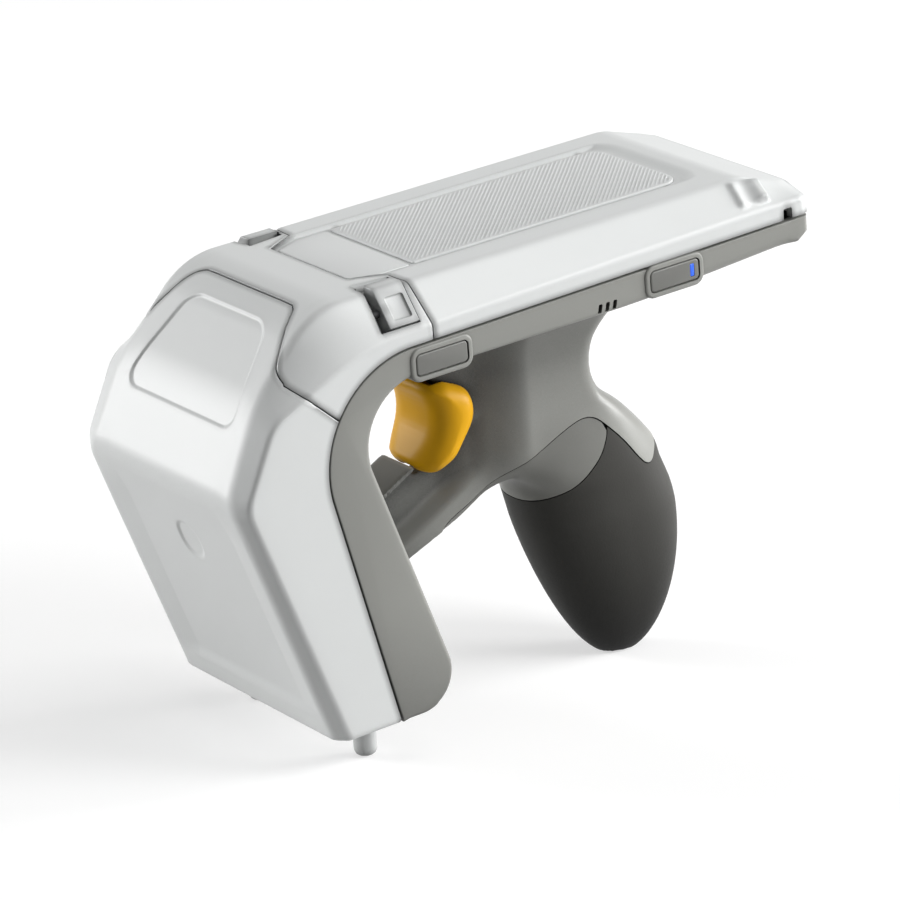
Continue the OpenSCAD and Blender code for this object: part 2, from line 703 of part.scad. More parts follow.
function waist_plan(y0, y1) = [[-strut_half, -far], [strut_half, -far], [strut_half, y0],
    [neck_half, y1], [neck_half, 38], [neck_half - 8, 66], [8 - neck_half, 66],
    [-neck_half, 38], [-neck_half, y1], [-strut_half, y0]];
cheek_plan = waist_plan(0, 9);
strut_plan = waist_plan(6, 24);
cheek_low = -62;
flare_r = 9;
flare_z = neck_top - flare_r;
flare_outline = rounded([[-neck_half - flare_r, neck_top], [-neck_half, neck_top, flare_r, 6],
    [-neck_half, flare_z - 4], [neck_half, flare_z - 4], [neck_half, neck_top, flare_r, 6],
    [neck_half + flare_r, neck_top], [neck_half + flare_r, neck_top + 1],
    [-neck_half - flare_r, neck_top + 1]]);
pivot = [-4, -30];
trigger_gap = 0.4;
trigger_pocket = [[-40, -35], [7.5, -35], [10.2, -38], [10.2, -48], [6.6, -58], [3, -61],
    [-11, -61], [-14.8, -59.1], [-40, -50]];
lug_slot = [[pivot[0] - 5, -40], [pivot[0] + 6, -40], [pivot[0] + 6, pivot[1] + 4.6],
    [pivot[0] - 5, pivot[1] + 4.6]];
core_outline = rounded([[29, -50], [44, -50], [59, -100, 30, 5], [57, -117, 3, 3],
    [44, -117, 3, 3], [33, -80, 40, 5]]);
core_half = 7;
core_play = 0.1;
spring_z = -43;
switch_z = -50.5;
pocket_rear = 10.2;
spring_seat = 16;
trigger_spring_d = 4;
trigger_spring_wall = 0.6;
trigger_switch_h = 5;
trigger_switch_half = 3.2;

module handle_frame() color(grey) difference() {
    union() {
        intersection() {
            side_prism(neck_outline, band_w);
            union() {
                front_prism(flare_outline, -60, 80);
                plan_prism(cheek_plan, cheek_low, flare_z - 2);
                plan_prism(strut_plan, -far, cheek_low);
            }
        }
        side_prism(core_outline, 2 * core_half);
    }
    side_prism(trigger_pocket, trigger_w + 2 * trigger_gap);
    side_prism(lug_slot, lug_w + 2 * trigger_gap);
    cross_bar(pivot[0], pivot[1], trigger_pin_d / 2, [-far, far]);
    translate([0, pocket_rear - 1, spring_z]) rotate([-90, 0, 0])
        cylinder(h = spring_seat - pocket_rear + 1, d = trigger_spring_d + 0.2);
    trigger_switch_block(0);
}
module trigger_switch_block(gap) {
    block([gap - trigger_switch_half, trigger_switch_half - gap],
        [pocket_rear - 2, spring_seat - gap],
        [switch_z - trigger_switch_h / 2 + gap, switch_z + trigger_switch_h / 2 - gap]);
}

// Grip skin as rounded rings down the handle
grip_top = -54;
grip_low = -134;
grip_full = -86;
grip_rings = 16;
grip_points = 28;
grip_end_power = 1.6;
grip_section_power = 2.3;
function ease_down(z) = z > grip_full ? 1
    : pow(max(0, 1 - pow((grip_full - z) / (grip_full - grip_low), grip_end_power)), 0.5);
function shoulder(z) = z < -76 ? 1 : 1 - 0.16 * pow((z + 76) / 22, 2);
function grip_mid(z) = 51 - 15.5 * pow((z - grip_low) / (grip_top - grip_low), 1.8);
function rounded_unit(t, power) = [sign(cos(t)) * pow(abs(cos(t)), 2 / power),
    sign(sin(t)) * pow(abs(sin(t)), 2 / power)];
function grip_ring(z) = let (k = ease_down(z), s = shoulder(z))
    [for (j = [0:grip_points - 1])
        let (p = rounded_unit(360 * j / grip_points, grip_section_power))
        [p[0] * grip_w / 2 * k * s, grip_mid(z) + p[1] * grip_d / 2 * k * s, z]];
function ring_height(i) = let (t = i / grip_rings)
    grip_top + (grip_low + 0.4 - grip_top) * (1 - pow(1 - t, 1.5));
module grip_skin() {
    loft([for (i = [0:grip_rings]) grip_ring(ring_height(i))]);
}
collar_low = [[38.5, -66.4], [28.7, -73.9], [19, -77.7], [5, -81.5]];
shell_gap = 0.1;
collar_outline = concat([seam_apex - [9, 5], seam_apex + [0, 1], collar_rear - [0.2, 0]],
    collar_low, [[5, -76], [12, -70.6]]);
strip_outline = [collar_start + [0.4, 0.1], seam_apex - [0, 2], [30, -70], [19.6, -78],
    [17.2, -73.6], [13.6, -70.2]];
rubber_outline = concat([for (p = collar_low) p - [0, shell_gap]],
    [[5, -far], [90, -far], [90, tail_rear[1] - 3], tail_rear - [0, shell_gap + 1.2],
    [tail_low[0] + 1.6, tail_low[1] - shell_gap], [tail_low[0] - 1.8, tail_low[1] - shell_gap],
    [collar_rear[0], collar_rear[1] - 1]]);
module core_hole() side_prism(moved_edges(core_outline,
    [for (p = core_outline) core_play]), 2 * (core_half + core_play));
module grip_collar() color([0.38, 0.38, 0.37]) difference() {
    union() {
        intersection() {
            grip_skin();
            side_prism(collar_outline, far);
        }
        intersection() {
            side_prism(strip_outline, far);
            plan_prism(strut_plan, -far, far);
        }
    }
    core_hole();
    side_prism(neck_outline, far);
    side_prism(rubber_outline, far);
}
module rubber_grip() color(dark) difference() {
    intersection() {
        grip_skin();
        side_prism(rubber_outline, far);
    }
    core_hole();
    below_floor();
}

// Trigger with a hollowed finger face, on a lug around its pin
trigger_outline = rounded([[-12.5, -37, 2, 4], [-7, -47, 14, 8], [-12.5, -58, 2.5, 4],
    [1, -57.5, 6, 4], [6, -48, 8, 5], [5, -37, 2, 3]]);
lug_r = 3.4;
trigger_half = trigger_w / 2;
trigger_plan = rounded([[-trigger_half, 20], [-trigger_half, -4], [-7.5, -20, 7, 6],
    [7.5, -20, 7, 6], [trigger_half, -4], [trigger_half, 20]]);
module trigger() color([0.90, 0.68, 0.12]) difference() {
    union() {
        intersection() {
            side_prism(trigger_outline, trigger_w);
            plan_prism(trigger_plan, -far, far);
        }
        side_prism([[pivot[0] - lug_r, -38], [pivot[0] + lug_r, -38],
            [pivot[0] + lug_r, pivot[1]], [pivot[0] - lug_r, pivot[1]]], lug_w);
        cross_bar(pivot[0], pivot[1], lug_r, [-lug_w / 2, lug_w / 2]);
    }
    cross_bar(pivot[0], pivot[1], trigger_pin_d / 2 + pin_play, [-far, far]);
}
pin_half = neck_half - 3;
module trigger_pin() color(steel)
    cross_bar(pivot[0], pivot[1], trigger_pin_d / 2, [-pin_half, pin_half]);
module trigger_spring() color(steel)
    translate([0, spring_seat, spring_z]) rotate([90, 0, 0]) difference() {
        cylinder(h = spring_seat - 8.2, d = trigger_spring_d);
        translate([0, 0, -1]) cylinder(h = spring_seat, d = trigger_spring_d - 2 * trigger_spring_wall);
    }
module trigger_switch() color(dark) intersection() {
    trigger_switch_block(eps);
    block([-far, far], [pocket_rear - 0.6, far], [-far, far]);
}

// Power and radio pieces in the tray
well_floor = well_top - battery_t - battery_play - well_wall;
leg_w = 4;
leg_x = well_half_w + leg_w / 2;
battery_tray_y = [well_mid - well_half_l, well_mid + well_half_l];
leg_y = [battery_tray_y[0] + leg_w, tray_slope_y - leg_w];
contact_x = [-12, 0, 12];
module battery_tray() color(dark) {
    difference() {
        plan_prism(well_plan(0), well_floor, well_top);
        plan_prism(well_plan(well_wall), well_floor + well_wall, far);
    }
    for (x = [-leg_x, leg_x], y = leg_y)
        block([x - leg_w / 2, x + leg_w / 2], [y - leg_w / 2, y + leg_w / 2],
            [-tray_depth + wall, well_floor + well_wall]);
}
module battery() color([0.25, 0.27, 0.30])
    plan_prism(well_plan(well_wall + battery_play), well_floor + well_wall,
        well_floor + well_wall + battery_t);
module battery_contacts() color([0.80, 0.65, 0.25]) for (x = contact_x)
    block([x - 1.5, x + 1.5],
        [battery_tray_y[0] + well_wall, battery_tray_y[0] + well_wall + battery_play],
        [well_floor + well_wall, well_floor + well_wall + battery_t - 1]);
module main_board() color([0.10, 0.30, 0.20]) difference() {
    block([-board_w / 2, board_w / 2], board_y, [board_z, board_z + board_t]);
    board_posts(board_screw_d / 2 + screw_play, board_z - 1, board_z + board_t + 1);
}
module board_screws() color(steel) {
    board_posts(board_screw_d / 2, -tray_depth + wall + 0.4, board_z + board_t);
    board_posts(board_screw_d * 0.9, board_z + board_t, board_z + board_t + 0.7);
}
module radio_module() color(steel)
    block([-14, 14], [board_y[0] + 10, board_y[0] + 44], [board_z + board_t, board_z + board_t + 0.9]);
beeper_r = 2.6;
module beeper() color(dark)
    cross_bar(vent_y, -tray_depth + wall + beeper_r, beeper_r,
        [room_w / 2 - 5.5, room_w / 2 - 0.2]);

// Antenna lead from the main board to the ground plate, as points [y, z] beside the centre
lead_x = 9;
lead_points = [[board_y[0] + 2, -15], [board_y[0] - 4, -15], [-34, -15.6], [-42, -18.5],
    [-49, -24], [-54, -31], [-57, -38]];
lead_sides = 8;
function lead_dir(i) = unit(lead_points[min(i + 1, len(lead_points) - 1)]
    - lead_points[max(i - 1, 0)]);
module coax_lead() color([0.15, 0.15, 0.15])
    loft([for (i = [0:len(lead_points) - 1]) let (n = turn_left(lead_dir(i)))
        [for (j = [0:lead_sides - 1])
            let (t = 360 * j / lead_sides, p = lead_points[i] + n * sin(t) * lead_d / 2)
            [lead_x + cos(t) * lead_d / 2, p[0], p[1]]]]);

// Leans the unit onto its pegs and grip, with the floor at zero and the middle of its length at y = 0
nose_centre = arc_centre(brow, nose, chin, nose_r);
function stood_y(p) = p[0] * cos(stand_tilt) - p[1] * sin(stand_tilt);
mid_y = (stood_y([hinge_y, -hinge_z]) + knuckle_r + stood_y(nose_centre) - nose_r) / 2;
module stand() translate([0, -mid_y, deck_h]) rotate([stand_tilt, 0, 0]) children();

stand() top_cover();
stand() texture_pad();
stand() deck_plate();
stand() cover_seal();
stand() hinge_pin();
stand() front_hood();
stand() latch_left();
stand() latch_right();
stand() latch_spring_left();
stand() latch_spring_right();
stand() antenna_cover();
stand() head_back();
stand() tray();
stand() foot_pegs();
stand() fn_button();
stand() power_button();
stand() led_lens();
stand() key_switches();
stand() handle_frame();
stand() grip_collar();
stand() rubber_grip();
stand() trigger();
stand() trigger_pin();
stand() trigger_spring();
stand() trigger_switch();
stand() battery_tray();
stand() battery();
stand() battery_contacts();
stand() main_board();
stand() radio_module();
stand() beeper();
stand() board_screws();
stand() antenna_board();
stand() ground_plate();
stand() antenna_screws();
stand() coax_lead();
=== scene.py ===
from math import atan2, cos, pi, radians, sin, tan

import bmesh
import bpy
import numpy as np
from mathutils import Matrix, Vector


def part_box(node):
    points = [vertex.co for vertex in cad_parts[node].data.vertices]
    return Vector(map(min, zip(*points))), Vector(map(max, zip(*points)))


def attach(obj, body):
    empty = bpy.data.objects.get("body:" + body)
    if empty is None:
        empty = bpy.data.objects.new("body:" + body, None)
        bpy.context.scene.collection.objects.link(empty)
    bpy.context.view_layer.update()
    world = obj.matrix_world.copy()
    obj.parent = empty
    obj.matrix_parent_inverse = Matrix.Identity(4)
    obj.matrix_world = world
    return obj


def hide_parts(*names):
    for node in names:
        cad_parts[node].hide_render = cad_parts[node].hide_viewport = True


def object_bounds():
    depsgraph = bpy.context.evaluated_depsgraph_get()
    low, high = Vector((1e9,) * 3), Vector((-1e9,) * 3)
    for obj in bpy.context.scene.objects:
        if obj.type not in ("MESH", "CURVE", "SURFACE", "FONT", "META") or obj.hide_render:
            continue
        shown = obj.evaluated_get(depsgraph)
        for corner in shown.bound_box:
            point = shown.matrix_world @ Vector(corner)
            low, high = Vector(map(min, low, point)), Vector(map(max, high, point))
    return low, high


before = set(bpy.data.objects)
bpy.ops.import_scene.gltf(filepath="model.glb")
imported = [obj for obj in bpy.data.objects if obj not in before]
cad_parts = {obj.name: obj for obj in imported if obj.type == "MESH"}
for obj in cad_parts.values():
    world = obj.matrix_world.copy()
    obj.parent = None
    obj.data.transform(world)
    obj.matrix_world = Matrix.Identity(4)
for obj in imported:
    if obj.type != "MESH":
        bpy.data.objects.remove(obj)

cad_low, cad_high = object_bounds()

# The unit's own frame, in millimetres: x across, y back along the deck, z up from the deck.
# Everything below is drawn there and then stood on the floor as the CAD model is.
MM = 1000.0
HALF_W = 36.0
HALF_BAND = 35.5
HALF_DECK = 28.3
HALF_FACE = 32.7
WALL = 2.2
SEAM = 0.3
DECK_REAR = 94.0
HEAD_H = 110.5
HINGE = (93.2, -9.2)
TILT = radians(5)
pin_low, pin_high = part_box("hinge_pin")
SHIFT_Y = (pin_low[1] + pin_high[1]) / 2 * MM - HINGE[0] * cos(TILT) + HINGE[1] * sin(TILT)
SHIFT_Z = (pin_low[2] + pin_high[2]) / 2 * MM - HINGE[0] * sin(TILT) - HINGE[1] * cos(TILT)


def stood(points):
    """Points of the unit's frame in millimetres, as points of the row frame in metres."""
    p = np.asarray(points, float).reshape(-1, 3)
    y = p[:, 1] * cos(TILT) - p[:, 2] * sin(TILT) + SHIFT_Y
    z = p[:, 1] * sin(TILT) + p[:, 2] * cos(TILT) + SHIFT_Z
    return np.stack([p[:, 0], y, z], 1) / MM


# Shader maths

class Wire:
    """A shader socket that can be used in sums."""

    def __init__(self, tree, socket):
        self.tree = tree
        self.socket = socket

    def maths(self, operation, *inputs):
        """One step of a sum, as a Math node."""
        return self.tree.node("ShaderNodeMath", {"operation": operation},
                              dict(enumerate(inputs)))

    def __add__(self, other):
        return self.maths("ADD", self, other)

    __radd__ = __add__

    def __sub__(self, other):
        return self.maths("SUBTRACT", self, other)

    def __rsub__(self, other):
        return self.maths("SUBTRACT", other, self)

    def __mul__(self, other):
        return self.maths("MULTIPLY", self, other)

    __rmul__ = __mul__


class Shading:
    """A node tree and the one way to add nodes to it."""

    def __init__(self, node_tree, shader):
        self.nodes = node_tree.nodes
        self.links = node_tree.links
        self.shader = self.nodes[shader]

    def feed(self, socket, value):
        """Links a wire to a socket of the shader, or sets the socket to a value."""
        if isinstance(value, Wire):
            self.links.new(value.socket, self.shader.inputs[socket])
        else:
            self.shader.inputs[socket].default_value = value

    def node(self, kind, settings=None, inputs=None, out=0):
        """Adds a node, sets it up and gives the wire of one of its outputs."""
        made = self.nodes.new(kind)
        for key, value in (settings or {}).items():
            setattr(made, key, value)
        for key, value in (inputs or {}).items():
            if isinstance(value, Wire):
                self.links.new(value.socket, made.inputs[key])
            else:
                made.inputs[key].default_value = value
        return Wire(self, made.outputs[out])

    def looked_at(self):
        """1 where the camera, a reflection or clear glass looks at a surface, 0 for other light."""
        rays = [self.node("ShaderNodeLightPath", out=ray)
                for ray in ("Is Camera Ray", "Is Glossy Ray", "Is Transmission Ray")]
        return rays[0].maths("MAXIMUM", rays[0].maths("MAXIMUM", rays[0], rays[1]), rays[2])


# Sockets of a colour mix, and how the painted shade of hollows and edges is found, in metres
MIX_A, MIX_B, MIX_RESULT = 6, 7, 2
SHADE_SAMPLES, EDGE_SHADE_REACH = 8, 0.0018


class Finish(Shading):
    """One material and the nodes that make it."""

    def __init__(self, name, colour, roughness, **shader):
        self.material = bpy.data.materials.new(name)
        self.material.use_nodes = True
        super().__init__(self.material.node_tree, "Principled BSDF")
        self.feed("Base Color", (*colour, 1))
        self.feed("Roughness", roughness)
        for socket, value in shader.items():
            self.feed(socket.replace("_", " "), value)

    def place(self):
        """Where a point is on the piece, in millimetres."""
        spot = self.node("ShaderNodeTexCoord", out="Object")
        return self.node("ShaderNodeVectorMath", {"operation": "SCALE"},
                         {0: spot, "Scale": MM})

    def grain(self, size, detail=2.0, stretch=(1, 1, 1)):
        """Soft noise from 0 to 1, about size millimetres across."""
        spot = self.node("ShaderNodeVectorMath", {"operation": "MULTIPLY"},
                         {0: self.place(), 1: stretch})
        return self.node("ShaderNodeTexNoise", {"noise_dimensions": "3D"},
                         {"Vector": spot, "Scale": 1 / size, "Detail": detail})

    def tint(self, amount, first, second):
        """A colour between two others."""
        return self.node("ShaderNodeMix", {"data_type": "RGBA"},
                         {"Factor": amount, MIX_A: (*first, 1), MIX_B: (*second, 1)},
                         out=MIX_RESULT)

    def colour_with_painted_shade(self, colour, hollow_shade, edges, reach, painted_top_light):
        """A colour with painted shade: darker along convex edges and in hollows, less so on faces
        that look up, as if lit from above.
        """
        open_to_sky = self.node("ShaderNodeAmbientOcclusion", {"samples": SHADE_SAMPLES},
                                {"Distance": reach}, out="AO")
        clear_of_edge = self.node("ShaderNodeAmbientOcclusion",
                                  {"samples": SHADE_SAMPLES, "inside": True},
                                  {"Distance": EDGE_SHADE_REACH}, out="AO")
        rise = self.node("ShaderNodeSeparateXYZ", None,
                         {0: self.node("ShaderNodeNewGeometry", out="Normal")}, out="Z")
        painted_hollow_shade = (1 - open_to_sky) * hollow_shade * (1 - rise.maths("MAXIMUM", rise, 0.0) * painted_top_light)
        painted_shade_factor = (1 - painted_hollow_shade) * (1 - (1 - clear_of_edge) * edges)
        return self.node("ShaderNodeMix", {"data_type": "RGBA", "blend_type": "MULTIPLY"},
                         {"Factor": 1.0, MIX_A: colour, MIX_B: painted_shade_factor}, out=MIX_RESULT)

    def bump(self, height, depth):
        """Fine relief of the surface, at most depth metres high."""
        self.feed("Normal", self.node("ShaderNodeBump", None,
                                      {"Height": height, "Distance": depth}))


def shade(colour, by):
    """A colour made lighter or darker by a factor."""
    return tuple(c * by for c in colour)


CLOUD_MM = 22.0


def moulded(name, colour, roughness, cloud=0.03, spark=0.06, grain_mm=0.35, depth=1.2e-5,
            hollow_shade=0.0, edges=0.0, reach=0.045, painted_top_light=0.0, **shader):
    """Moulded plastic: a fine spark-eroded grain and a faint cloud in colour and gloss, with
    painted shade in hollows and along edges where asked.
    """
    f = Finish(name, colour, roughness, **shader)
    fine_grain = f.grain(grain_mm, detail=3.0)
    broad = f.grain(CLOUD_MM)
    clouded = f.tint(broad * 0.6 + fine_grain * 0.4,
                     shade(colour, 1 - cloud), shade(colour, 1 + cloud))
    colour_with_painted_shade = f.colour_with_painted_shade(clouded, hollow_shade, edges, reach, painted_top_light) if hollow_shade or edges else clouded
    f.feed("Base Color", colour_with_painted_shade)
    f.feed("Roughness", roughness - spark / 2 + (fine_grain * 0.5 + broad * 0.5) * spark)
    f.bump(fine_grain, depth)
    return f.material


WHITE = (0.70, 0.715, 0.71)
GREY = (0.288, 0.290, 0.271)
# The settings for hollows and edges paint shade into the colour: darker in hollows and along convex
# edges, less so on faces that look up.
white_shell = moulded("white satin shell", WHITE, 0.40, hollow_shade=0.55, edges=1.2,
                      reach=0.008, painted_top_light=0.5, Specular_IOR_Level=0.4)
white_trim = moulded("white latch", shade(WHITE, 0.81), 0.38, hollow_shade=0.5, edges=0.8,
                     reach=0.006, Specular_IOR_Level=0.4)
plate_white = moulded("smooth plate", shade(WHITE, 0.965), 0.36, grain_mm=0.25, depth=0.6e-5)
pad_white = moulded("ribbed pad", shade(WHITE, 0.93), 0.5, grain_mm=0.2)
grey_shell = moulded("grey satin shell", GREY, 0.36, hollow_shade=1.0, painted_top_light=1.0,
                     Specular_IOR_Level=0.25)
# The neck and strut: the shell's grey made a little lighter, with much deeper painted shade in its
# hollows.
neck_grey_deep_shade = moulded("neck grey, deep painted shade", shade(GREY, 1.04), 0.36, hollow_shade=2.0, painted_top_light=1.0, reach=0.05,
                    Specular_IOR_Level=0.3)
key_grey = moulded("key grey", shade(GREY, 0.62), 0.38, grain_mm=0.25, Specular_IOR_Level=0.4)
collar_grey = moulded("collar grey", (0.225, 0.226, 0.211), 0.36, hollow_shade=1.5,
                      Specular_IOR_Level=0.2)
amber = moulded("amber gloss", (0.74, 0.38, 0.006), 0.42, cloud=0.02, spark=0.03, grain_mm=0.8,
                depth=0.3e-5, Specular_IOR_Level=0.15)
lamp_blue = moulded("blue lamp", (0.03, 0.14, 0.85), 0.22, cloud=0.05,
                    Emission_Color=(0.02, 0.12, 0.9, 1), Emission_Strength=0.35)
dark_plastic = moulded("dark plastic", (0.03, 0.03, 0.032), 0.5)
dark_rubber = moulded("dark rubber", (0.018, 0.018, 0.018), 0.7, grain_mm=0.6)
cell_wrap = moulded("cell wrap", (0.045, 0.05, 0.06), 0.32, cloud=0.05)


def grip_rubber_finish():
    """Soft-touch rubber: a warm charcoal with a pebbled skin, a little sheen and painted shade in
    its hollows.
    """
    f = Finish("grip rubber", (0.044, 0.043, 0.040), 0.5, Specular_IOR_Level=0.12)
    pebble = f.grain(0.55)
    broad = f.grain(30.0)
    skin_tint = f.tint(broad, (0.053, 0.052, 0.048), (0.062, 0.061, 0.056))
    # Painted shade in the grip's hollows.
    f.feed("Base Color", f.colour_with_painted_shade(skin_tint, hollow_shade=1.2, edges=0.0, reach=0.06, painted_top_light=0.0))
    f.feed("Roughness", 0.45 + pebble * 0.12)
    f.bump(pebble, 2.2e-5)
    return f.material


def brushed(name, colour, roughness):
    """Drawn or plated metal with fine streaks along its length."""
    f = Finish(name, colour, roughness, Metallic=1.0)
    streak = f.grain(0.5, detail=3.0, stretch=(0.08, 1, 1))
    f.feed("Base Color", f.tint(streak, shade(colour, 0.86), shade(colour, 1.06)))
    f.feed("Roughness", roughness + streak * 0.14)
    f.bump(streak, 0.6e-5)
    return f.material


def board_finish():
    """Green solder mask over copper tracks."""
    f = Finish("board green", (0.02, 0.10, 0.05), 0.3, Coat_Weight=0.3)
    tracks = f.node("ShaderNodeTexBrick", {"offset": 0.5}, {
        "Vector": f.place(), "Scale": 0.25, "Mortar Size": 0.06,
        "Color1": (1, 1, 1, 1), "Color2": (1, 1, 1, 1), "Mortar": (0, 0, 0, 1)}, out="Fac")
    broad = f.grain(9.0)
    f.feed("Base Color", f.tint(tracks * 0.7 + broad * 0.3,
                                (0.016, 0.085, 0.042), (0.03, 0.16, 0.085)))
    f.bump(tracks, 3e-5)
    return f.material


grip_rubber = grip_rubber_finish()
steel = brushed("plain steel", (0.60, 0.61, 0.63), 0.30)
black_steel = brushed("blackened steel", (0.05, 0.05, 0.052), 0.60)
brass = brushed("plated brass", (0.78, 0.58, 0.24), 0.28)
board_green = board_finish()


# Meshes

def linked(name, data):
    """A new object of the scene."""
    obj = bpy.data.objects.new(name, data)
    bpy.context.scene.collection.objects.link(obj)
    return obj


def new_object(name, points, faces):
    """A mesh of the unit's frame, stood on the floor and linked, with no finish yet."""
    mesh = bpy.data.meshes.new(name)
    mesh.from_pydata(stood(points).tolist(), [], [list(map(int, f)) for f in faces])
    return linked(name, mesh)


def settle(obj):
    """Turns the object's modifiers into its mesh."""
    graph = bpy.context.evaluated_depsgraph_get()
    mesh = bpy.data.meshes.new_from_object(obj.evaluated_get(graph))
    obj.modifiers.clear()
    old, obj.data = obj.data, mesh
    bpy.data.meshes.remove(old)
    return obj


def carve(obj, tool, how="DIFFERENCE"):
    """Cuts the tool out of the object, keeps what they share, or joins them."""
    cut = obj.modifiers.new("carve", "BOOLEAN")
    cut.operation = how
    cut.solver = "MANIFOLD"
    cut.object = tool
    settle(obj)
    bpy.data.objects.remove(tool)
    return obj


def clean(obj, merge_mm=0.001):
    """Joins points that coincide and turns every face outwards."""
    form = bmesh.new()
    form.from_mesh(obj.data)
    bmesh.ops.remove_doubles(form, verts=form.verts, dist=merge_mm / MM)
    bmesh.ops.dissolve_degenerate(form, edges=form.edges, dist=merge_mm / (2 * MM))
    bmesh.ops.recalc_face_normals(form, faces=form.faces)
    form.to_mesh(obj.data)
    form.free()
    return obj


def soften(obj, width_mm, angle=38, steps=2):
    """Rounds every edge sharper than the angle."""
    bevel = obj.modifiers.new("soften", "BEVEL")
    bevel.width = width_mm / MM
    bevel.segments = steps
    bevel.limit_method = "ANGLE"
    bevel.angle_limit = radians(angle)
    bevel.use_clamp_overlap = False
    return settle(obj)


def finished(obj, finish, body, covers=(), sharp=40):
    """Smooth shading up to an angle, the finish, and the body the piece rides on."""
    form = bmesh.new()
    form.from_mesh(obj.data)
    for face in form.faces:
        face.smooth = True
    for edge in form.edges:
        edge.smooth = not (len(edge.link_faces) == 2
                           and edge.calc_face_angle(0) > radians(sharp))
    form.to_mesh(obj.data)
    form.free()
    obj.data.materials.clear()
    obj.data.materials.append(finish)
    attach(obj, body)
    if covers:
        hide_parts(*covers)
    return obj


def joined(name, *objs):
    """One object from several, with no change to their meshes."""
    form = bmesh.new()
    for obj in objs:
        form.from_mesh(obj.data)
    mesh = bpy.data.meshes.new(name)
    form.to_mesh(mesh)
    form.free()
    for obj in objs:
        bpy.data.objects.remove(obj)
    return linked(name, mesh)


def strips(rows, cols, start=0, close=False):
    """Quads of a grid of points numbered row by row."""
    wide = cols if close else cols - 1
    return [(start + i * cols + j, start + i * cols + (j + 1) % cols,
             start + (i + 1) * cols + (j + 1) % cols, start + (i + 1) * cols + j)
            for i in range(rows - 1) for j in range(wide)]


def loft(name, rings):
    """A skin through rings of equal count, closed by a flat face at each end."""
    rings = np.asarray(rings, float)
    count, m = rings.shape[:2]
    faces = strips(count, m, close=True)
    faces += [range(m - 1, -1, -1), range((count - 1) * m, count * m)]
    return clean(new_object(name, rings.reshape(-1, 3), faces))


# Outlines

def unit(v):
    """The same direction, one long."""
    return np.asarray(v, float) / np.linalg.norm(v)


def bend(a, p, b, r, n):
    """Points of the rounding of radius r at corner p between a and b."""
    a, p, b = (np.asarray(v[:2], float) for v in (a, p, b))
    u, v = unit(a - p), unit(b - p)
    half = np.arccos(np.clip(u @ v, -1, 1)) / 2
    centre = p + unit(u + v) * r / sin(half)
    first, last = p + u * r / tan(half) - centre, p + v * r / tan(half) - centre
    start = atan2(first[1], first[0])
    span = (atan2(last[1], last[0]) - start + 3 * pi) % (2 * pi) - pi
    turn = start + span * np.linspace(0, 1, n + 1)
    return centre + r * np.stack([np.cos(turn), np.sin(turn)], 1)


def rounded(corners, n=6):
    """A closed outline; a corner with a third number is rounded by that radius."""
    out = []
    for i, p in enumerate(corners):
        if len(p) == 2:
            out.append(np.array([p], float))
        else:
            out.append(bend(corners[i - 1], p, corners[(i + 1) % len(corners)], p[2], n))
    return np.concatenate(out)


def between(a, b, n):
    """n points strictly between a and b."""
    t = np.arange(1, n + 1)[:, None] / (n + 1)
    return np.asarray(a) * (1 - t) + np.asarray(b) * t


def flowing(points, n=8):
    """A smooth open line through the points."""
    p = np.asarray(points, float)
    p = np.vstack([2 * p[0] - p[1], p, 2 * p[-1] - p[-2]])
    t = np.linspace(0, 1, n, endpoint=False)[:, None]
    out = []
    for a, b, c, d in zip(p, p[1:], p[2:], p[3:]):
        out.append(0.5 * (2 * b + (c - a) * t + (2 * a - 5 * b + 4 * c - d) * t ** 2
                          + (3 * b - a - 3 * c + d) * t ** 3))
    return np.vstack([*out, p[-2:-1]])


def spaced(outline, step):
    """A closed outline with points no further apart than the step."""
    out = []
    for a, b in zip(outline, np.roll(outline, -1, 0)):
        out.append(np.asarray(a)[None])
        n = int(np.linalg.norm(np.subtract(b, a)) // step)
        if n:
            out.append(between(a, b, n))
    return np.vstack(out)


def round_box(centre, half_l, half_h, r, n):
    """A rounded rectangle about its centre."""
    (u, v), a, b = centre, half_l, half_h
    return rounded([(u - a, v - b, r), (u + a, v - b, r), (u + a, v + b, r), (u - a, v + b, r)], n)


def anticlockwise(outline):
    """The same outline, turned round if it runs the other way."""
    p = np.asarray(outline, float)
    q = np.roll(p, -1, 0)
    return p if (p[:, 0] * q[:, 1] - q[:, 0] * p[:, 1]).sum() > 0 else p[::-1]


def grown(outline, by):
    """An anticlockwise outline moved outwards by one distance, or by one for each point."""
    p = np.asarray(outline, float)
    before, after = p - np.roll(p, 1, 0), np.roll(p, -1, 0) - p
    before /= np.linalg.norm(before, axis=1)[:, None]
    after /= np.linalg.norm(after, axis=1)[:, None]
    out = np.stack([before[:, 1] + after[:, 1], -before[:, 0] - after[:, 0]], 1)
    scale = 1 + (before * after).sum(1)
    return p + np.broadcast_to(by, len(p))[:, None] * out / np.maximum(scale, 0.3)[:, None]


def smooth_step(t):
    """0 below 0 and 1 above 1, with an even rise between."""
    t = np.clip(t, 0, 1)
    return t * t * (3 - 2 * t)


AXES = {"side": (1, 2, 0), "front": (0, 2, 1), "plan": (0, 1, 2)}


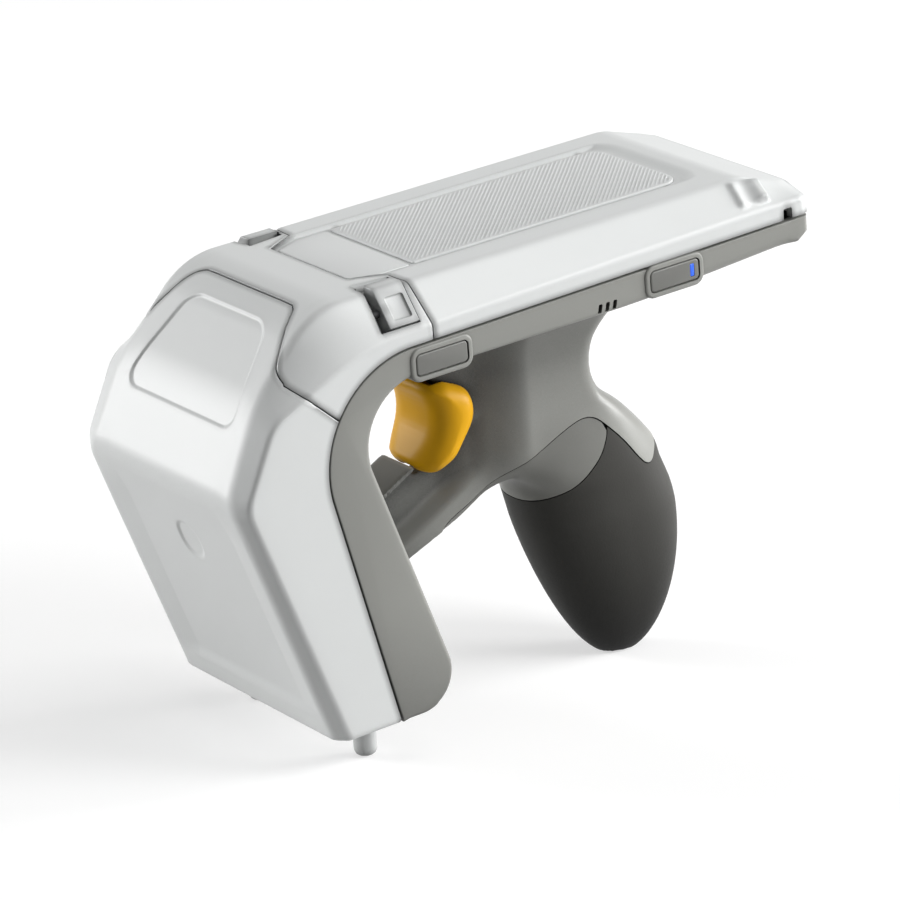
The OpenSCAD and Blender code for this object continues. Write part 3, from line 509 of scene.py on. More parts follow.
def prism(name, outline, low, high, view="side", round_low=0.0, round_high=0.0, steps=4):
    """An outline of one view drawn out between two depths. Each end is rounded by one radius,
    or by one for each point of the outline."""
    outline = anticlockwise(outline)
    rings = []
    for end, r, turns in ((low, round_low, range(steps + 1)),
                          (high, round_high, range(steps, -1, -1))):
        r = np.broadcast_to(np.asarray(r, float), len(outline))
        for k in turns if r.any() else [steps]:
            t = pi / 2 * k / steps
            flat = grown(outline, -r * (1 - sin(t))) if k < steps else outline
            drop = r * (1 - cos(t)) * (1 if end == low else -1)
            a, b, c = AXES[view]
            ring = np.zeros((len(outline), 3))
            ring[:, a], ring[:, b], ring[:, c] = flat[:, 0], flat[:, 1], end + drop
            rings.append(ring)
    return loft(name, rings)


# Solid fields: a number for each point of space, below zero inside

def soft_min(a, b, k):
    """The lesser of two fields, blended where they come within k of each other."""
    h = np.clip(0.5 + 0.5 * (b - a) / k, 0, 1)
    return b * (1 - h) + a * h - k * h * (1 - h)


def soft_max(a, b, k):
    """The greater of two fields, blended in the same way."""
    return -soft_min(-a, -b, k)


def outline_field(outline):
    """Signed distance to a closed outline of the side view."""
    p = np.asarray(outline, float)

    def field(y, z):
        near = np.full(np.broadcast(y, z).shape, np.inf)
        inside = np.zeros(near.shape, bool)
        for a, b in zip(p, np.roll(p, -1, 0)):
            along = b - a
            t = np.clip(((y - a[0]) * along[0] + (z - a[1]) * along[1]) / (along @ along), 0, 1)
            near = np.minimum(near, (y - a[0] - t * along[0]) ** 2 + (z - a[1] - t * along[1]) ** 2)
            if along[1]:
                spans = (a[1] > z) != (b[1] > z)
                inside ^= spans & (y < a[0] + along[0] * (z - a[1]) / along[1])
        return np.where(inside, -1, 1) * np.sqrt(near)

    return field


def skin(name, field, low, high, step):
    """A closed mesh over the surface of a field, from cubes of one size."""
    axes = [np.arange(a, b + step, step) for a, b in zip(low, high)]
    x, y, z = axes[0][:, None, None], axes[1][None, :, None], axes[2][None, None, :]
    v = np.broadcast_to(field(x, y, z), [len(a) for a in axes]).astype(np.float32)
    inside = v < 0
    cells = tuple(n - 1 for n in v.shape)

    def at(corner, values):
        return values[tuple(slice(c, c + n) for c, n in zip(corner, cells))]

    corners = [(i, j, k) for i in (0, 1) for j in (0, 1) for k in (0, 1)]
    count = sum(at(c, inside).astype(np.int8) for c in corners)
    used = (count > 0) & (count < 8)
    number = np.full(cells, -1)
    number[used] = np.arange(used.sum())
    total, hits = np.zeros((used.sum(), 3)), np.zeros(used.sum())
    for a in corners:
        for axis in range(3):
            if a[axis]:
                continue
            b = tuple(c + (n == axis) for n, c in enumerate(a))
            va, vb = at(a, v)[used], at(b, v)[used]
            crossed = (va < 0) != (vb < 0)
            t = np.where(crossed, va / np.where(crossed, va - vb, 1), 0)
            spot = np.array(a, float) + np.eye(3)[axis] * t[:, None]
            total += spot * crossed[:, None]
            hits += crossed
    points = (np.argwhere(used) + total / hits[:, None]) * step + np.array([a[0] for a in axes])
    probe, flattest, furthest = 0.05, 0.3, 0.4 * step
    for _ in range(2):
        here = field(*points.T)
        slope = np.stack([(field(*(points + d).T) - here) / probe for d in np.eye(3) * probe], 1)
        move = slope * (here / np.maximum((slope ** 2).sum(1), flattest))[:, None]
        points -= np.clip(move, -furthest, furthest)
    faces = []
    for axis in range(3):
        p, q = (axis + 1) % 3, (axis + 2) % 3
        first = [slice(None)] * 3
        last = [slice(None)] * 3
        first[axis], last[axis] = slice(0, -1), slice(1, None)
        crossed = np.argwhere(inside[tuple(first)] != inside[tuple(last)])
        crossed = crossed[(crossed[:, p] > 0) & (crossed[:, q] > 0)
                          & (crossed[:, p] < cells[p]) & (crossed[:, q] < cells[q])]
        ring = []
        for dp, dq in ((-1, -1), (0, -1), (0, 0), (-1, 0)):
            cell = crossed.copy()
            cell[:, p] += dp
            cell[:, q] += dq
            ring.append(number[tuple(cell.T)])
        ring = np.stack(ring, 1)
        outward = inside[tuple(crossed.T)]
        faces += ring[outward].tolist() + ring[~outward][:, ::-1].tolist()
    return new_object(name, points, faces)


# The white shell's lines: the face edge, the chamfer's lower edge and the seam over the grey band

REAR_EDGE, CREASE = (DECK_REAR, -5.3), (77.0, 0.0)
BEND, BROW, NOSE, CHIN = (-55.4, 0.0), (-74.8, -20.6), (-85.2, -42.1), (-61.8, -HEAD_H)
CREASE_R, BEND_R, BROW_R, NOSE_R = 15, 22, 38, 10
EDGE_REAR, EDGE_START, EDGE_BEND = (DECK_REAR, -7.3), (0, -9.34), (-44, -10.3)
EDGE_BROW, EDGE_NOSE, EDGE_CHIN = (-73.4, -23.0), (-82.6, -42.0), (-58.7, -HEAD_H)
EDGE_BEND_R, EDGE_BROW_R, EDGE_NOSE_R = 60, 9, 8
SEAM_REAR, SEAM_CORNER, SEAM_CHIN = (DECK_REAR, -11.9), (-65.9, -14.3), (-43.3, -HEAD_H)
SEAM_R = 27.5
REAR_ROWS, CREASE_ROWS, FLAT_ROWS = 6, 10, 46
BEND_ROWS, LINK_ROWS, BROW_ROWS, NOSE_ROWS, FACE_ROWS = 24, 6, 16, 24, 44
WIDENING_ROWS = 12


def head_line(first, bend_p, bend_r, brow_p, brow_r, nose_p, nose_r, end):
    """The part of a shell line ahead of the deck, with the same count of points for each line."""
    bent = bend(first, bend_p, brow_p, bend_r, BEND_ROWS)
    brow = bend(bend_p, brow_p, nose_p, brow_r, BROW_ROWS)
    nose = bend(brow_p, nose_p, end, nose_r, NOSE_ROWS)
    return np.vstack([bent, between(bent[-1], brow[0], LINK_ROWS), brow,
                      between(brow[-1], nose[0], LINK_ROWS), nose,
                      between(nose[-1], end, FACE_ROWS), [end]])


def on_line(y, a, b):
    """Points at the given y on the line through a and b."""
    return np.column_stack([y, a[1] + (b[1] - a[1]) * (y - a[0]) / (b[0] - a[0])])


crease = bend(REAR_EDGE, CREASE, BEND, CREASE_R, CREASE_ROWS)
face_head = head_line(CREASE, BEND, BEND_R, BROW, BROW_R, NOSE, NOSE_R, CHIN)
face_line = np.vstack([[REAR_EDGE], between(REAR_EDGE, crease[0], REAR_ROWS), crease,
                       between(crease[-1], face_head[0], FLAT_ROWS), face_head])
deck_rows = len(face_line) - len(face_head)
deck_y = face_line[:deck_rows, 0]


def squeezed(front):
    """The deck's rows drawn together so that they end just behind where a line starts to bend."""
    share = (deck_y - DECK_REAR) / (face_head[0, 0] - DECK_REAR)
    return DECK_REAR + share * (front - DECK_REAR)


edge_head = head_line(EDGE_START, EDGE_BEND, EDGE_BEND_R, EDGE_BROW, EDGE_BROW_R,
                      EDGE_NOSE, EDGE_NOSE_R, EDGE_CHIN)
edge_line = np.vstack([on_line(squeezed(edge_head[0, 0]), EDGE_REAR, EDGE_BEND), edge_head])
seam_bend = bend(SEAM_REAR, SEAM_CORNER, SEAM_CHIN, SEAM_R, len(face_head) - FACE_ROWS - 2)
seam_line = np.vstack([on_line(squeezed(seam_bend[0, 0]), SEAM_REAR, SEAM_CORNER), seam_bend,
                       between(seam_bend[-1], SEAM_CHIN, FACE_ROWS), [SEAM_CHIN]])
ROWS = len(face_line)
brow_row = deck_rows + BEND_ROWS + LINK_ROWS
nose_row = ROWS - FACE_ROWS - 2
half_face = HALF_DECK + (HALF_FACE - HALF_DECK) * smooth_step(
    (np.arange(ROWS) - brow_row) / (nose_row - brow_row + WIDENING_ROWS))

# How far the rounding of the chamfer's two edges reaches along each side, and the columns of
# points across the rim, the lower edge, the chamfer, the face edge and the flat top
EDGE_REACH, FACE_REACH, CORNER_SHARE = 1.2, 1.7, 0.4
RIM_COLS, EDGE_COLS, CHAMFER_COLS, FACE_COLS = 4, 8, 20, 10
TOP_X = np.linspace(23.4, 0, 62)
TOP_GAP = 0.3 * (24 - TOP_X) / 24


def eased_corner(p, a, b, reach, n):
    """A soft corner at p between a and b, row by row."""
    to_a, to_b = np.linalg.norm(a - p, axis=1)[:, None], np.linalg.norm(b - p, axis=1)[:, None]
    s = p + (a - p) * np.minimum(reach / to_a, CORNER_SHARE)
    e = p + (b - p) * np.minimum(reach / to_b, CORNER_SHARE)
    return [(1 - t) ** 2 * s + 2 * t * (1 - t) * p + t ** 2 * e for t in np.linspace(0, 1, n)]


def shell_grid():
    """Points of the white shell, row by row from the rear, across from right to left."""
    low = np.column_stack([np.full(ROWS, HALF_W), seam_line])
    edge = np.column_stack([np.full(ROWS, HALF_W), edge_line])
    face = np.column_stack([half_face, face_line])
    centre = np.column_stack([np.zeros(ROWS), face_line])
    at_edge = eased_corner(edge, low, face, EDGE_REACH, EDGE_COLS)
    at_face = eased_corner(face, edge, centre, FACE_REACH, FACE_COLS)
    cols = [low + (at_edge[0] - low) * t for t in np.linspace(0, 1, RIM_COLS, endpoint=False)]
    cols += at_edge
    cols += [at_edge[-1] + (at_face[0] - at_edge[-1]) * t
             for t in np.linspace(0, 1, CHAMFER_COLS)[1:-1]]
    cols += at_face
    wide = at_face[-1][:, 0]
    cols += [np.column_stack([np.minimum(np.full(ROWS, x), wide - gap), face_line])
             for x, gap in zip(TOP_X, TOP_GAP)]
    return np.stack(cols + [c * np.array([-1, 1, 1]) for c in cols[-2::-1]], 1)


def outward(grid):
    """Directions out of the surface of a grid of points."""
    n = np.cross(np.gradient(grid, axis=1), np.gradient(grid, axis=0))
    return n / np.linalg.norm(n, axis=2)[..., None]


def split_rows(grid, rows):
    """The same grid with another count of rows."""
    at = np.linspace(0, len(grid) - 1, rows)
    low = np.minimum(at.astype(int), len(grid) - 2)
    t = (at - low)[:, None, None]
    return grid[low] * (1 - t) + grid[low + 1] * t


def row_where(value):
    """For each column, the fractional row where a value first rises past zero."""
    found = []
    for column in value.T:
        k = max(int(np.argmax(column > 0)), 1)
        found.append(k - 1 + column[k - 1] / (column[k - 1] - column[k]))
    return np.array(found)


def spanned(grid, start, end, rows):
    """The grid between a start row and an end row that differ from column to column."""
    t = np.linspace(0, 1, rows)[:, None]
    at = start[None] * (1 - t) + end[None] * t
    low = np.clip(at.astype(int), 0, len(grid) - 2)
    f = (at - low)[..., None]
    cols = np.arange(grid.shape[1])[None]
    return grid[low, cols] * (1 - f) + grid[low + 1, cols] * f


TURN_STEPS = 5
END_EASE = 0.3, 0.08
SHELL_MERGE_MM = 0.004


def walled_end(ring, axis, level, way, r):
    """Rows that turn a ring over by a rounding into a flat wall at a level of one axis."""
    flat = [c for c in range(3) if c != axis]
    inward = -grown(ring[:, flat], 1.0) + ring[:, flat]
    middle = ring[:, flat].mean(0)
    if ((ring[len(ring) // 4, flat] - middle) * inward[len(ring) // 4]).sum() > 0:
        inward = -inward
    inward[0] = inward[1]
    inward[-1] = inward[-2]
    inward[0, 1] = inward[-1, 1] = 0
    rows = []
    for k in range(TURN_STEPS + 1):
        t = pi / 2 * k / TURN_STEPS
        row = ring.copy()
        row[:, flat] += inward * r * (1 - sin(t))
        row[:, axis] = level - way * r * (1 - cos(t))
        rows.append(row)
    return np.stack(rows)


def shell_piece(name, grid, rear_wall=None, chin_wall=None):
    """A shell one wall thick from a grid of outer points, open along its lower edges. An end is
    cut square, or closed by a wall with a rounded edge."""
    normals = outward(grid)
    inner = grid - normals * WALL
    outer = grid.copy()
    for row, walled in ((0, rear_wall), (-1, chin_wall)):
        if not walled:
            step = 1 if row == 0 else -1
            outer[row] -= normals[row] * END_EASE[0]
            outer[row + step] -= normals[row + step] * END_EASE[1]
    whole = np.zeros(grid.shape[1]), np.full(grid.shape[1], len(grid) - 1.0)
    if rear_wall:
        turn = row_where(DECK_REAR - rear_wall - outer[..., 1])
        outer = spanned(outer, turn, whole[1], len(grid))
        ends = walled_end(outer[0], 1, DECK_REAR, 1, rear_wall)
        outer = np.concatenate([ends[:-1], outer])
        inner = spanned(inner, row_where(DECK_REAR - WALL - inner[..., 1]), whole[1], len(grid))
        inner[0, :, 1] = DECK_REAR - WALL
        inner = np.concatenate([inner[:1]] * (len(ends) - 1) + [inner])
    if chin_wall:
        turn = row_where(chin_wall - HEAD_H - outer[..., 2])
        outer = spanned(outer, whole[0], turn, len(grid))
        ends = walled_end(outer[-1], 2, -HEAD_H, -1, chin_wall)[::-1]
        outer = np.concatenate([outer, ends[1:]])
        inner = spanned(inner, whole[0], row_where(WALL - HEAD_H - inner[..., 2]), len(grid))
        inner[-1, :, 2] = WALL - HEAD_H
        inner = np.concatenate([inner] + [inner[-1:]] * (len(ends) - 1))
    rows, m = outer.shape[:2]
    start = rows * m
    faces = strips(rows, m) + [f[::-1] for f in strips(rows, m, start)]
    for edge in (0, m - 1):
        faces += [(i * m + edge, i * m + m + edge, start + i * m + m + edge, start + i * m + edge)
                  for i in range(rows - 1)]
    for row, walled in ((0, rear_wall), (rows - 1, chin_wall)):
        a = row * m
        if walled:
            faces += [range(a, a + m), range(start + a, start + a + m),
                      (a, a + m - 1, start + a + m - 1, start + a)]
        else:
            faces += [(a + j, a + j + 1, start + a + j + 1, start + a + j) for j in range(m - 1)]
    points = np.concatenate([outer, inner]).reshape(-1, 3)
    return clean(new_object(name, points, faces), SHELL_MERGE_MM)


# Seams between the white pieces

COVER_FRONT_X, COVER_FRONT_Y = [0, 16.5, 21.5, 25.4, 36], [-36, -36, -27, -27, -25]
COVER_ROWS, HOOD_ROWS, ANTENNA_ROWS = 250, 150, 380


def cover_front(x):
    """Where the deck cover ends: a tongue in the middle, set back beside the latches."""
    return np.interp(np.abs(x), COVER_FRONT_X, COVER_FRONT_Y)


HOOD_SLOPE = atan2(BEND[1] - BROW[1], BEND[0] - BROW[0])
TAB_TOP = -BEND[0] * cos(HOOD_SLOPE) - 0.2
tab_corner = flowing([(-1, 0), (16.3, 0), (19.1, 0.5), (21.3, 2.4), (23.9, 7.4), (26.6, 13.2),
                      (28.4, 16.6), (31.2, 18.6), (34, 19.0), (60, 19.0)], 8)


def tab_edge(x):
    """Where the hood ends: a tab in the middle of the brow that runs down to each side."""
    return TAB_TOP + np.interp(np.abs(x), tab_corner[:, 0], tab_corner[:, 1])


shell = split_rows(shell_grid(), 4 * ROWS)
shell_x = shell[..., 0]
past_cover = cover_front(shell_x) - shell[..., 1]
past_hood = -shell[..., 1] * cos(HOOD_SLOPE) - shell[..., 2] * sin(HOOD_SLOPE) - tab_edge(shell_x)
first_row = np.zeros(shell.shape[1])
last_row = np.full(shell.shape[1], len(shell) - 1.0)


# Deck cover

CHANNEL_DEEP, CHANNEL_HALF, CHANNEL_FRONT_HALF = 0.95, 19.9, 16.0
RAMP_Y, RAMP_HALF, RAMP_R, RAMP_LONG = 60.5, 13.0, 11.8, 3.8
CHANNEL_SIDE = 0.8


def deck_channel(grid):
    """Depth of the channel that holds the pad and the plate, with a ramp at its rear end."""
    x, y = np.abs(grid[..., 0]), grid[..., 1]
    half = np.interp(y, [-36, -27], [CHANNEL_FRONT_HALF, CHANNEL_HALF])
    sides = smooth_step((half - x) / CHANNEL_SIDE + 0.5)
    turn = np.hypot(np.maximum(x - RAMP_HALF, 0), np.maximum(y - RAMP_Y, 0))
    rear = smooth_step((RAMP_R - np.where(y > RAMP_Y, turn, 0)) / RAMP_LONG)
    return CHANNEL_DEEP * np.minimum(sides, rear)


LIP_FRONT, LIP_REAR, LIP_IN, LIP_OUT = 72.2, 82.4, 28.4, 34.8
LIP_LOW, LIP_RISE = 0.9, 0.8
SCOOP_Y, SCOOP_HALF, SCOOP_DEEP = 76.6, 3.4, 0.75


def chamfer_tab(grid):
    """Height of the finger tab on the right chamfer near the rear: a scoop ahead of a lip."""
    x, y = grid[..., 0], grid[..., 1]
    along = smooth_step((y - LIP_FRONT) / 1.6) * smooth_step((LIP_REAR - y) / 1.0)
    across = smooth_step((x - LIP_IN) / 1.4) * smooth_step((LIP_OUT - x) / 1.2)
    scoop = 1 - SCOOP_DEEP * smooth_step(1 - np.abs(y - SCOOP_Y) / SCOOP_HALF)
    return (LIP_LOW + LIP_RISE * smooth_step((y - 76) / 5)) * along * across * scoop


CORNER_Z, CORNER_R = [-11, -8, -5], [3.0, 3.6, 5.5]


def rear_turn(grid):
    """Draws the sides in along the rear corners, seen from above, less at the rim than on top."""
    radius = np.interp(grid[..., 2], CORNER_Z, CORNER_R)
    over = np.clip(grid[..., 1] - (DECK_REAR - radius), 0, radius)
    widest = HALF_W - radius + np.sqrt(np.maximum(radius ** 2 - over ** 2, 0))
    out = grid.copy()
    out[..., 0] *= widest / HALF_W
    return out


# Hinge barrels, numbered across from the middle, and the holes for the pin
KNUCKLE_STEP, KNUCKLE_HALF, KNUCKLE_R, KNUCKLE_EASE = 11.3, 5.5, 2.1, 0.3
BASE_KNUCKLES, LID_KNUCKLES = (-2, 0, 2), (-1, 1)
BASE_BORE, LID_BORE = 0.9, 0.97
KNUCKLE_SLOT = [(90.7, -9.2), (91.4, -7.4), (93.2, -6.75), (99, -6.75), (99, -20), (90.7, -20)]
SLOT_HALF = 5.8
SIDE_EYE = [(85.2, -13), (88.0, -13), (88.0, -9.1, 0.5), (85.2, -9.1, 0.5)]
EYE_DEEP = 3.4
CHANNEL_LEVEL = -6


def knuckle(name, x, inner_r):
    """A hinge barrel with eased ends and a hole for its pin."""
    half, r, ease = KNUCKLE_HALF, KNUCKLE_R, KNUCKLE_EASE
    profile = [(inner_r, -half), (r - ease, -half), (r, ease - half), (r, half - ease),
               (r - ease, half), (inner_r, half), (inner_r, -half)]
    turns = np.linspace(0, 2 * pi, 40, endpoint=False)
    rings = [[(x + h, HINGE[0] + r * cos(t), HINGE[1] + r * sin(t)) for t in turns]
             for r, h in profile]
    points = np.array(rings).reshape(-1, 3)
    return clean(new_object(name, points, strips(len(profile), len(turns), close=True)))


def deck_cover():
    """The white plate of the lid, with its channel, finger tab, side eyes and hinge barrels."""
    grid = spanned(shell, first_row, row_where(past_cover + SEAM / 2), COVER_ROWS)
    lift = chamfer_tab(grid) - deck_channel(grid) * (grid[..., 2] > CHANNEL_LEVEL)
    grid = rear_turn(grid + outward(grid) * lift[..., None])
    cover = shell_piece("deck_cover", grid, rear_wall=1.4)
    for k in BASE_KNUCKLES:
        x = k * KNUCKLE_STEP
        carve(cover, prism("slot", KNUCKLE_SLOT, x - SLOT_HALF, x + SLOT_HALF))
    eye = rounded(SIDE_EYE, 3)
    for side in (-1, 1):
        carve(cover, prism("eye", eye, side * HALF_W - EYE_DEEP, side * HALF_W + EYE_DEEP))
    barrels = [knuckle("barrel", k * KNUCKLE_STEP, LID_BORE) for k in LID_KNUCKLES]
    cover = joined("deck_cover", cover, *barrels)
    return finished(cover, white_shell, "lid", ["top_cover"])


# Pad and plate in the channel

PAD_HALF, PAD_FRONT, PAD_REAR = 17.8, -17.0, 67.0
PAD_LOW, PAD_TOP, PAD_BORDER = -1.2, -0.32, 0.7
RIB_PITCH, RIB_TALL, RIB_HALF, RIB_END, RIB_SHORTEST = 1.0, 0.12, 0.36, 0.25, 1.5
RIB_LEVEL, RIB_ROOT = -0.33, -0.05
RIB_PROFILE = ((-1, -0.1), (-0.5, 0.75), (0, 1), (0.5, 0.75), (1, -0.1))
PLATE_TOP = -0.62


def ribbed_pad():
    """A thin mat with fine ribs across it at an angle."""
    plan = rounded([(-PAD_HALF, PAD_FRONT, 0.6), (PAD_HALF, PAD_FRONT, 0.6),
                    (PAD_HALF, PAD_REAR, 5.0), (-PAD_HALF, PAD_REAR, 5.0)], 10)
    mat = prism("mat", plan, PAD_LOW, PAD_TOP, "plan", round_high=0.35)
    inside = anticlockwise(grown(anticlockwise(plan), -PAD_BORDER))
    along, across = unit((-1, 1)), unit((1, 1))
    points, faces = [], []
    for place in np.arange(-40, 80, RIB_PITCH):
        cuts = []
        for a, b in zip(inside, np.roll(inside, -1, 0)):
            da, db = a @ across - place, b @ across - place
            if (da > 0) != (db > 0):
                cuts.append((a + (b - a) * da / (da - db)) @ along)
        if len(cuts) != 2 or abs(cuts[0] - cuts[1]) < RIB_SHORTEST:
            continue
        start = len(points)
        first, last = sorted(cuts)
        ends = ((first, 0.0), (first + RIB_END, RIB_TALL), (last - RIB_END, RIB_TALL), (last, 0.0))
        for end, high in ends:
            for side, up in RIB_PROFILE:
                spot = along * end + across * (place + side * RIB_HALF)
                points.append((*spot, RIB_LEVEL + (up * high if up > 0 else RIB_ROOT)))
        faces += strips(len(ends), len(RIB_PROFILE), start)
    ribs = new_object("ribs", points, faces)
    form = bmesh.new()
    form.from_mesh(ribs.data)
    bmesh.ops.holes_fill(form, edges=form.edges, sides=0)
    bmesh.ops.recalc_face_normals(form, faces=form.faces)
    form.to_mesh(ribs.data)
    form.free()
    return finished(joined("ribbed_pad", mat, ribs), pad_white, "lid", ["texture_pad"], 30)


def smooth_plate():
    """The bare plate in front of the pad, with an eased edge."""
    plan = rounded([(-14.9, -34.9, 1.2), (14.9, -34.9, 1.2), (18.0, -27.6, 2), (18.0, -18.2, 0.8),
                    (-18.0, -18.2, 0.8), (-18.0, -27.6, 2)], 5)
    plate = prism("smooth_plate", plan, PAD_LOW, PLATE_TOP, "plan", round_high=0.3)
    return finished(plate, plate_white, "lid", ["deck_plate"], 30)


# Hood, with the two latch pockets

CHAMFER_DROP = 9.7
chamfer_run = unit((HALF_W - HALF_DECK, -CHAMFER_DROP))
chamfer_out = np.array([-chamfer_run[1], chamfer_run[0]])
LATCH_FRONT, LATCH_BACK, LATCH_DROP = -37.1, -28.3, 10.6
LATCH_PROUD, LATCH_DEEP, LATCH_IN, LATCH_EDGE, LATCH_GAP = 0.5, 3.4, 3.5, 0.7, 0.35
POCKET_FRONT, POCKET_BACK, POCKET_DEEP, POCKET_IN = -39.45, -27.95, 3.75, 24.25
BOSS_FRONT, BOSS_BACK, FOOT_DROP = POCKET_FRONT - 2, -27.2, 1.5
# The trough beside each pocket: where it starts and ends, with its inner edge there
TROUGH_ENDS, TROUGH_OUT = ((-38.8, 21.4), (POCKET_BACK - 0.5, 22.6)), 25.4
LATCHES = {1: ("latch_block_right", "latch_r", "latch_right"),
           -1: ("latch_block_left", "latch_l", "latch_left")}


def on_chamfer(s, d):
    """A point of the front view s down the chamfer and d below its surface."""
    return np.array([HALF_DECK, 0]) + s * chamfer_run - d * chamfer_out


def mirrored(points, side):
    """Points of the front view on the right or the left of the unit."""
    return np.asarray(points) * np.array([side, 1])


def latch_skin(d, first, last, reach, n=10):
    """The shell's outline over the deck's edge, d below it, from first inboard to last down."""
    corner = on_chamfer(0, 0)
    s, e = corner - np.array([reach, 0]), on_chamfer(reach, 0)
    t = np.linspace(0, 1, n)[:, None]
    soft = (1 - t) ** 2 * s + 2 * t * (1 - t) * corner + t ** 2 * e
    slope = np.gradient(soft, axis=0)
    slope /= np.linalg.norm(slope, axis=1)[:, None]
    soft = soft + d * np.stack([slope[:, 1], -slope[:, 0]], 1)
    soft = soft[soft[:, 0] > HALF_DECK - first + 0.1]
    return np.vstack([[(HALF_DECK - first, -d)], soft, [on_chamfer(last, d)]])


def wrapped(skin_depth, thick, first, last, reach=FACE_REACH):
    """A closed outline that wraps the deck's edge, from a depth under its skin to another."""
    foot = on_chamfer(FOOT_DROP, thick)
    return np.vstack([latch_skin(skin_depth, first, last, reach), [on_chamfer(last, thick)],
                      [foot], [(HALF_DECK - first, foot[1])]])


def latch_pocket(piece, side):
    """Thickens the hood under one latch and takes out the latch's room and the trough by it."""
    boss = mirrored(wrapped(skin_depth=1.0, thick=5.75, first=6.0, last=12.2), side)
    carve(piece, prism("boss", boss, BOSS_FRONT, BOSS_BACK, "front"), "UNION")
    low, inner = LATCH_DROP + LATCH_GAP, on_chamfer(FOOT_DROP, POCKET_DEEP)
    room = np.vstack([[on_chamfer(low, -20)], [on_chamfer(low, POCKET_DEEP)], [inner],
                      [(POCKET_IN, inner[1])], [(POCKET_IN, 20)]])
    carve(piece, prism("room", mirrored(room, side), POCKET_FRONT, POCKET_BACK, "front"))
    trough = []
    for y, x_in in TROUGH_ENDS:
        section = ((x_in, 0.02), (x_in + 1.2, -1.9), (TROUGH_OUT, -2.0), (TROUGH_OUT, 4), (x_in, 4))
        trough.append([(side * x, y, z) for x, z in section])
    carve(piece, loft("trough", trough if side > 0 else trough[::-1]))


def hood():
    """The white bend between the deck and the antenna cover."""
    grid = spanned(shell, row_where(past_cover - SEAM / 2), row_where(past_hood + SEAM / 2),
                   HOOD_ROWS)
    piece = shell_piece("hood", grid)
    for side in (-1, 1):
        latch_pocket(piece, side)
    return finished(piece, white_shell, "base", ["front_hood"])


def latch(side):
    """A sliding block that wraps the deck's edge, with a scooped thumb square."""
    outline = wrapped(-LATCH_PROUD, LATCH_DEEP, LATCH_IN, LATCH_DROP, LATCH_EDGE)
    block = prism("block", mirrored(outline, side), LATCH_FRONT, LATCH_BACK, "front",
                  round_low=0.35, round_high=0.35)
    scoop = []
    for y, depth in ((LATCH_FRONT + 1.9, -0.2), (LATCH_BACK - 1.3, 0.15)):
        corners = [on_chamfer(2.6, depth), on_chamfer(9.0, depth), on_chamfer(9.0, -6),
                   on_chamfer(2.4, -6)]
        scoop.append([(side * x, y, z) for x, z in corners])
    carve(block, soften(loft("scoop", scoop), 0.6, 30, 4))
    block.name, body, node = LATCHES[side]
    return finished(block, white_trim, body, [node])


# Antenna cover with its shallow panels

def place_along(grid, a, b):
    """How far each point lies from a towards b, in the side view."""
    along = unit(np.subtract(b, a))
    return (grid[..., 1] - a[0]) * along[0] + (grid[..., 2] - a[1]) * along[1]


def rounded_panel(u, half, v, low, high, r, soft):
    """1 inside a rounded panel, 0 outside, with a soft edge."""
    dx, dy = np.abs(u) - (half - r), np.abs(v - (low + high) / 2) - ((high - low) / 2 - r)
    gap = np.hypot(np.maximum(dx, 0), np.maximum(dy, 0)) + np.minimum(np.maximum(dx, dy), 0) - r
    return smooth_step(0.5 - gap / soft)


# The window on the brow, measured down from the bend, and the face's panel and oval, measured
# down from the nose
WINDOW_TOP, WINDOW_END, WINDOW_R, WINDOW_DEEP = 6.6, 34.0, 5.0, 0.5
WINDOW_HALF, WINDOW_FLARE, WINDOW_START = 16.4, 0.27, 6
PANEL_HALF, PANEL_TAPER, PANEL_END, PANEL_DEEP = 27.6, 0.05, 64.4, 1.15
OVAL_HALF, OVAL_TOP, OVAL_END, OVAL_DEEP = 4.4, 15.2, 25.8, 0.45


def face_relief(grid):
    """How far each point of the antenna cover sinks below its plain surface."""
    x = grid[..., 0]
    s, f = place_along(grid, BEND, BROW), place_along(grid, NOSE, CHIN)
    half = WINDOW_HALF + WINDOW_FLARE * np.clip(s - WINDOW_START, 0, 60)
    window = rounded_panel(x, half, s, WINDOW_TOP, WINDOW_END, WINDOW_R, 0.8)
    side = smooth_step((PANEL_HALF - PANEL_TAPER * np.clip(f, 0, 80) - np.abs(x)) / 1.8 + 0.5)
    low = np.minimum(side, smooth_step((PANEL_END - f) / 4.0 + 0.5)) * smooth_step((f - 1) / 14)
    oval = rounded_panel(x, OVAL_HALF, f, OVAL_TOP, OVAL_END, OVAL_HALF, 1.1)
    return np.where(f < 0, WINDOW_DEEP * window, PANEL_DEEP * low + OVAL_DEEP * oval)


def antenna_cover():
    """The white front shell of the antenna head."""
    grid = spanned(shell, row_where(past_hood - SEAM / 2), last_row, ANTENNA_ROWS)
    grid = grid - outward(grid) * face_relief(grid)[..., None]
    piece = shell_piece("antenna_cover_shell", grid, chin_wall=1.6)
    return finished(piece, white_shell, "base", ["antenna_cover"])


# Grey band: the tray under the deck and the back of the head in one run

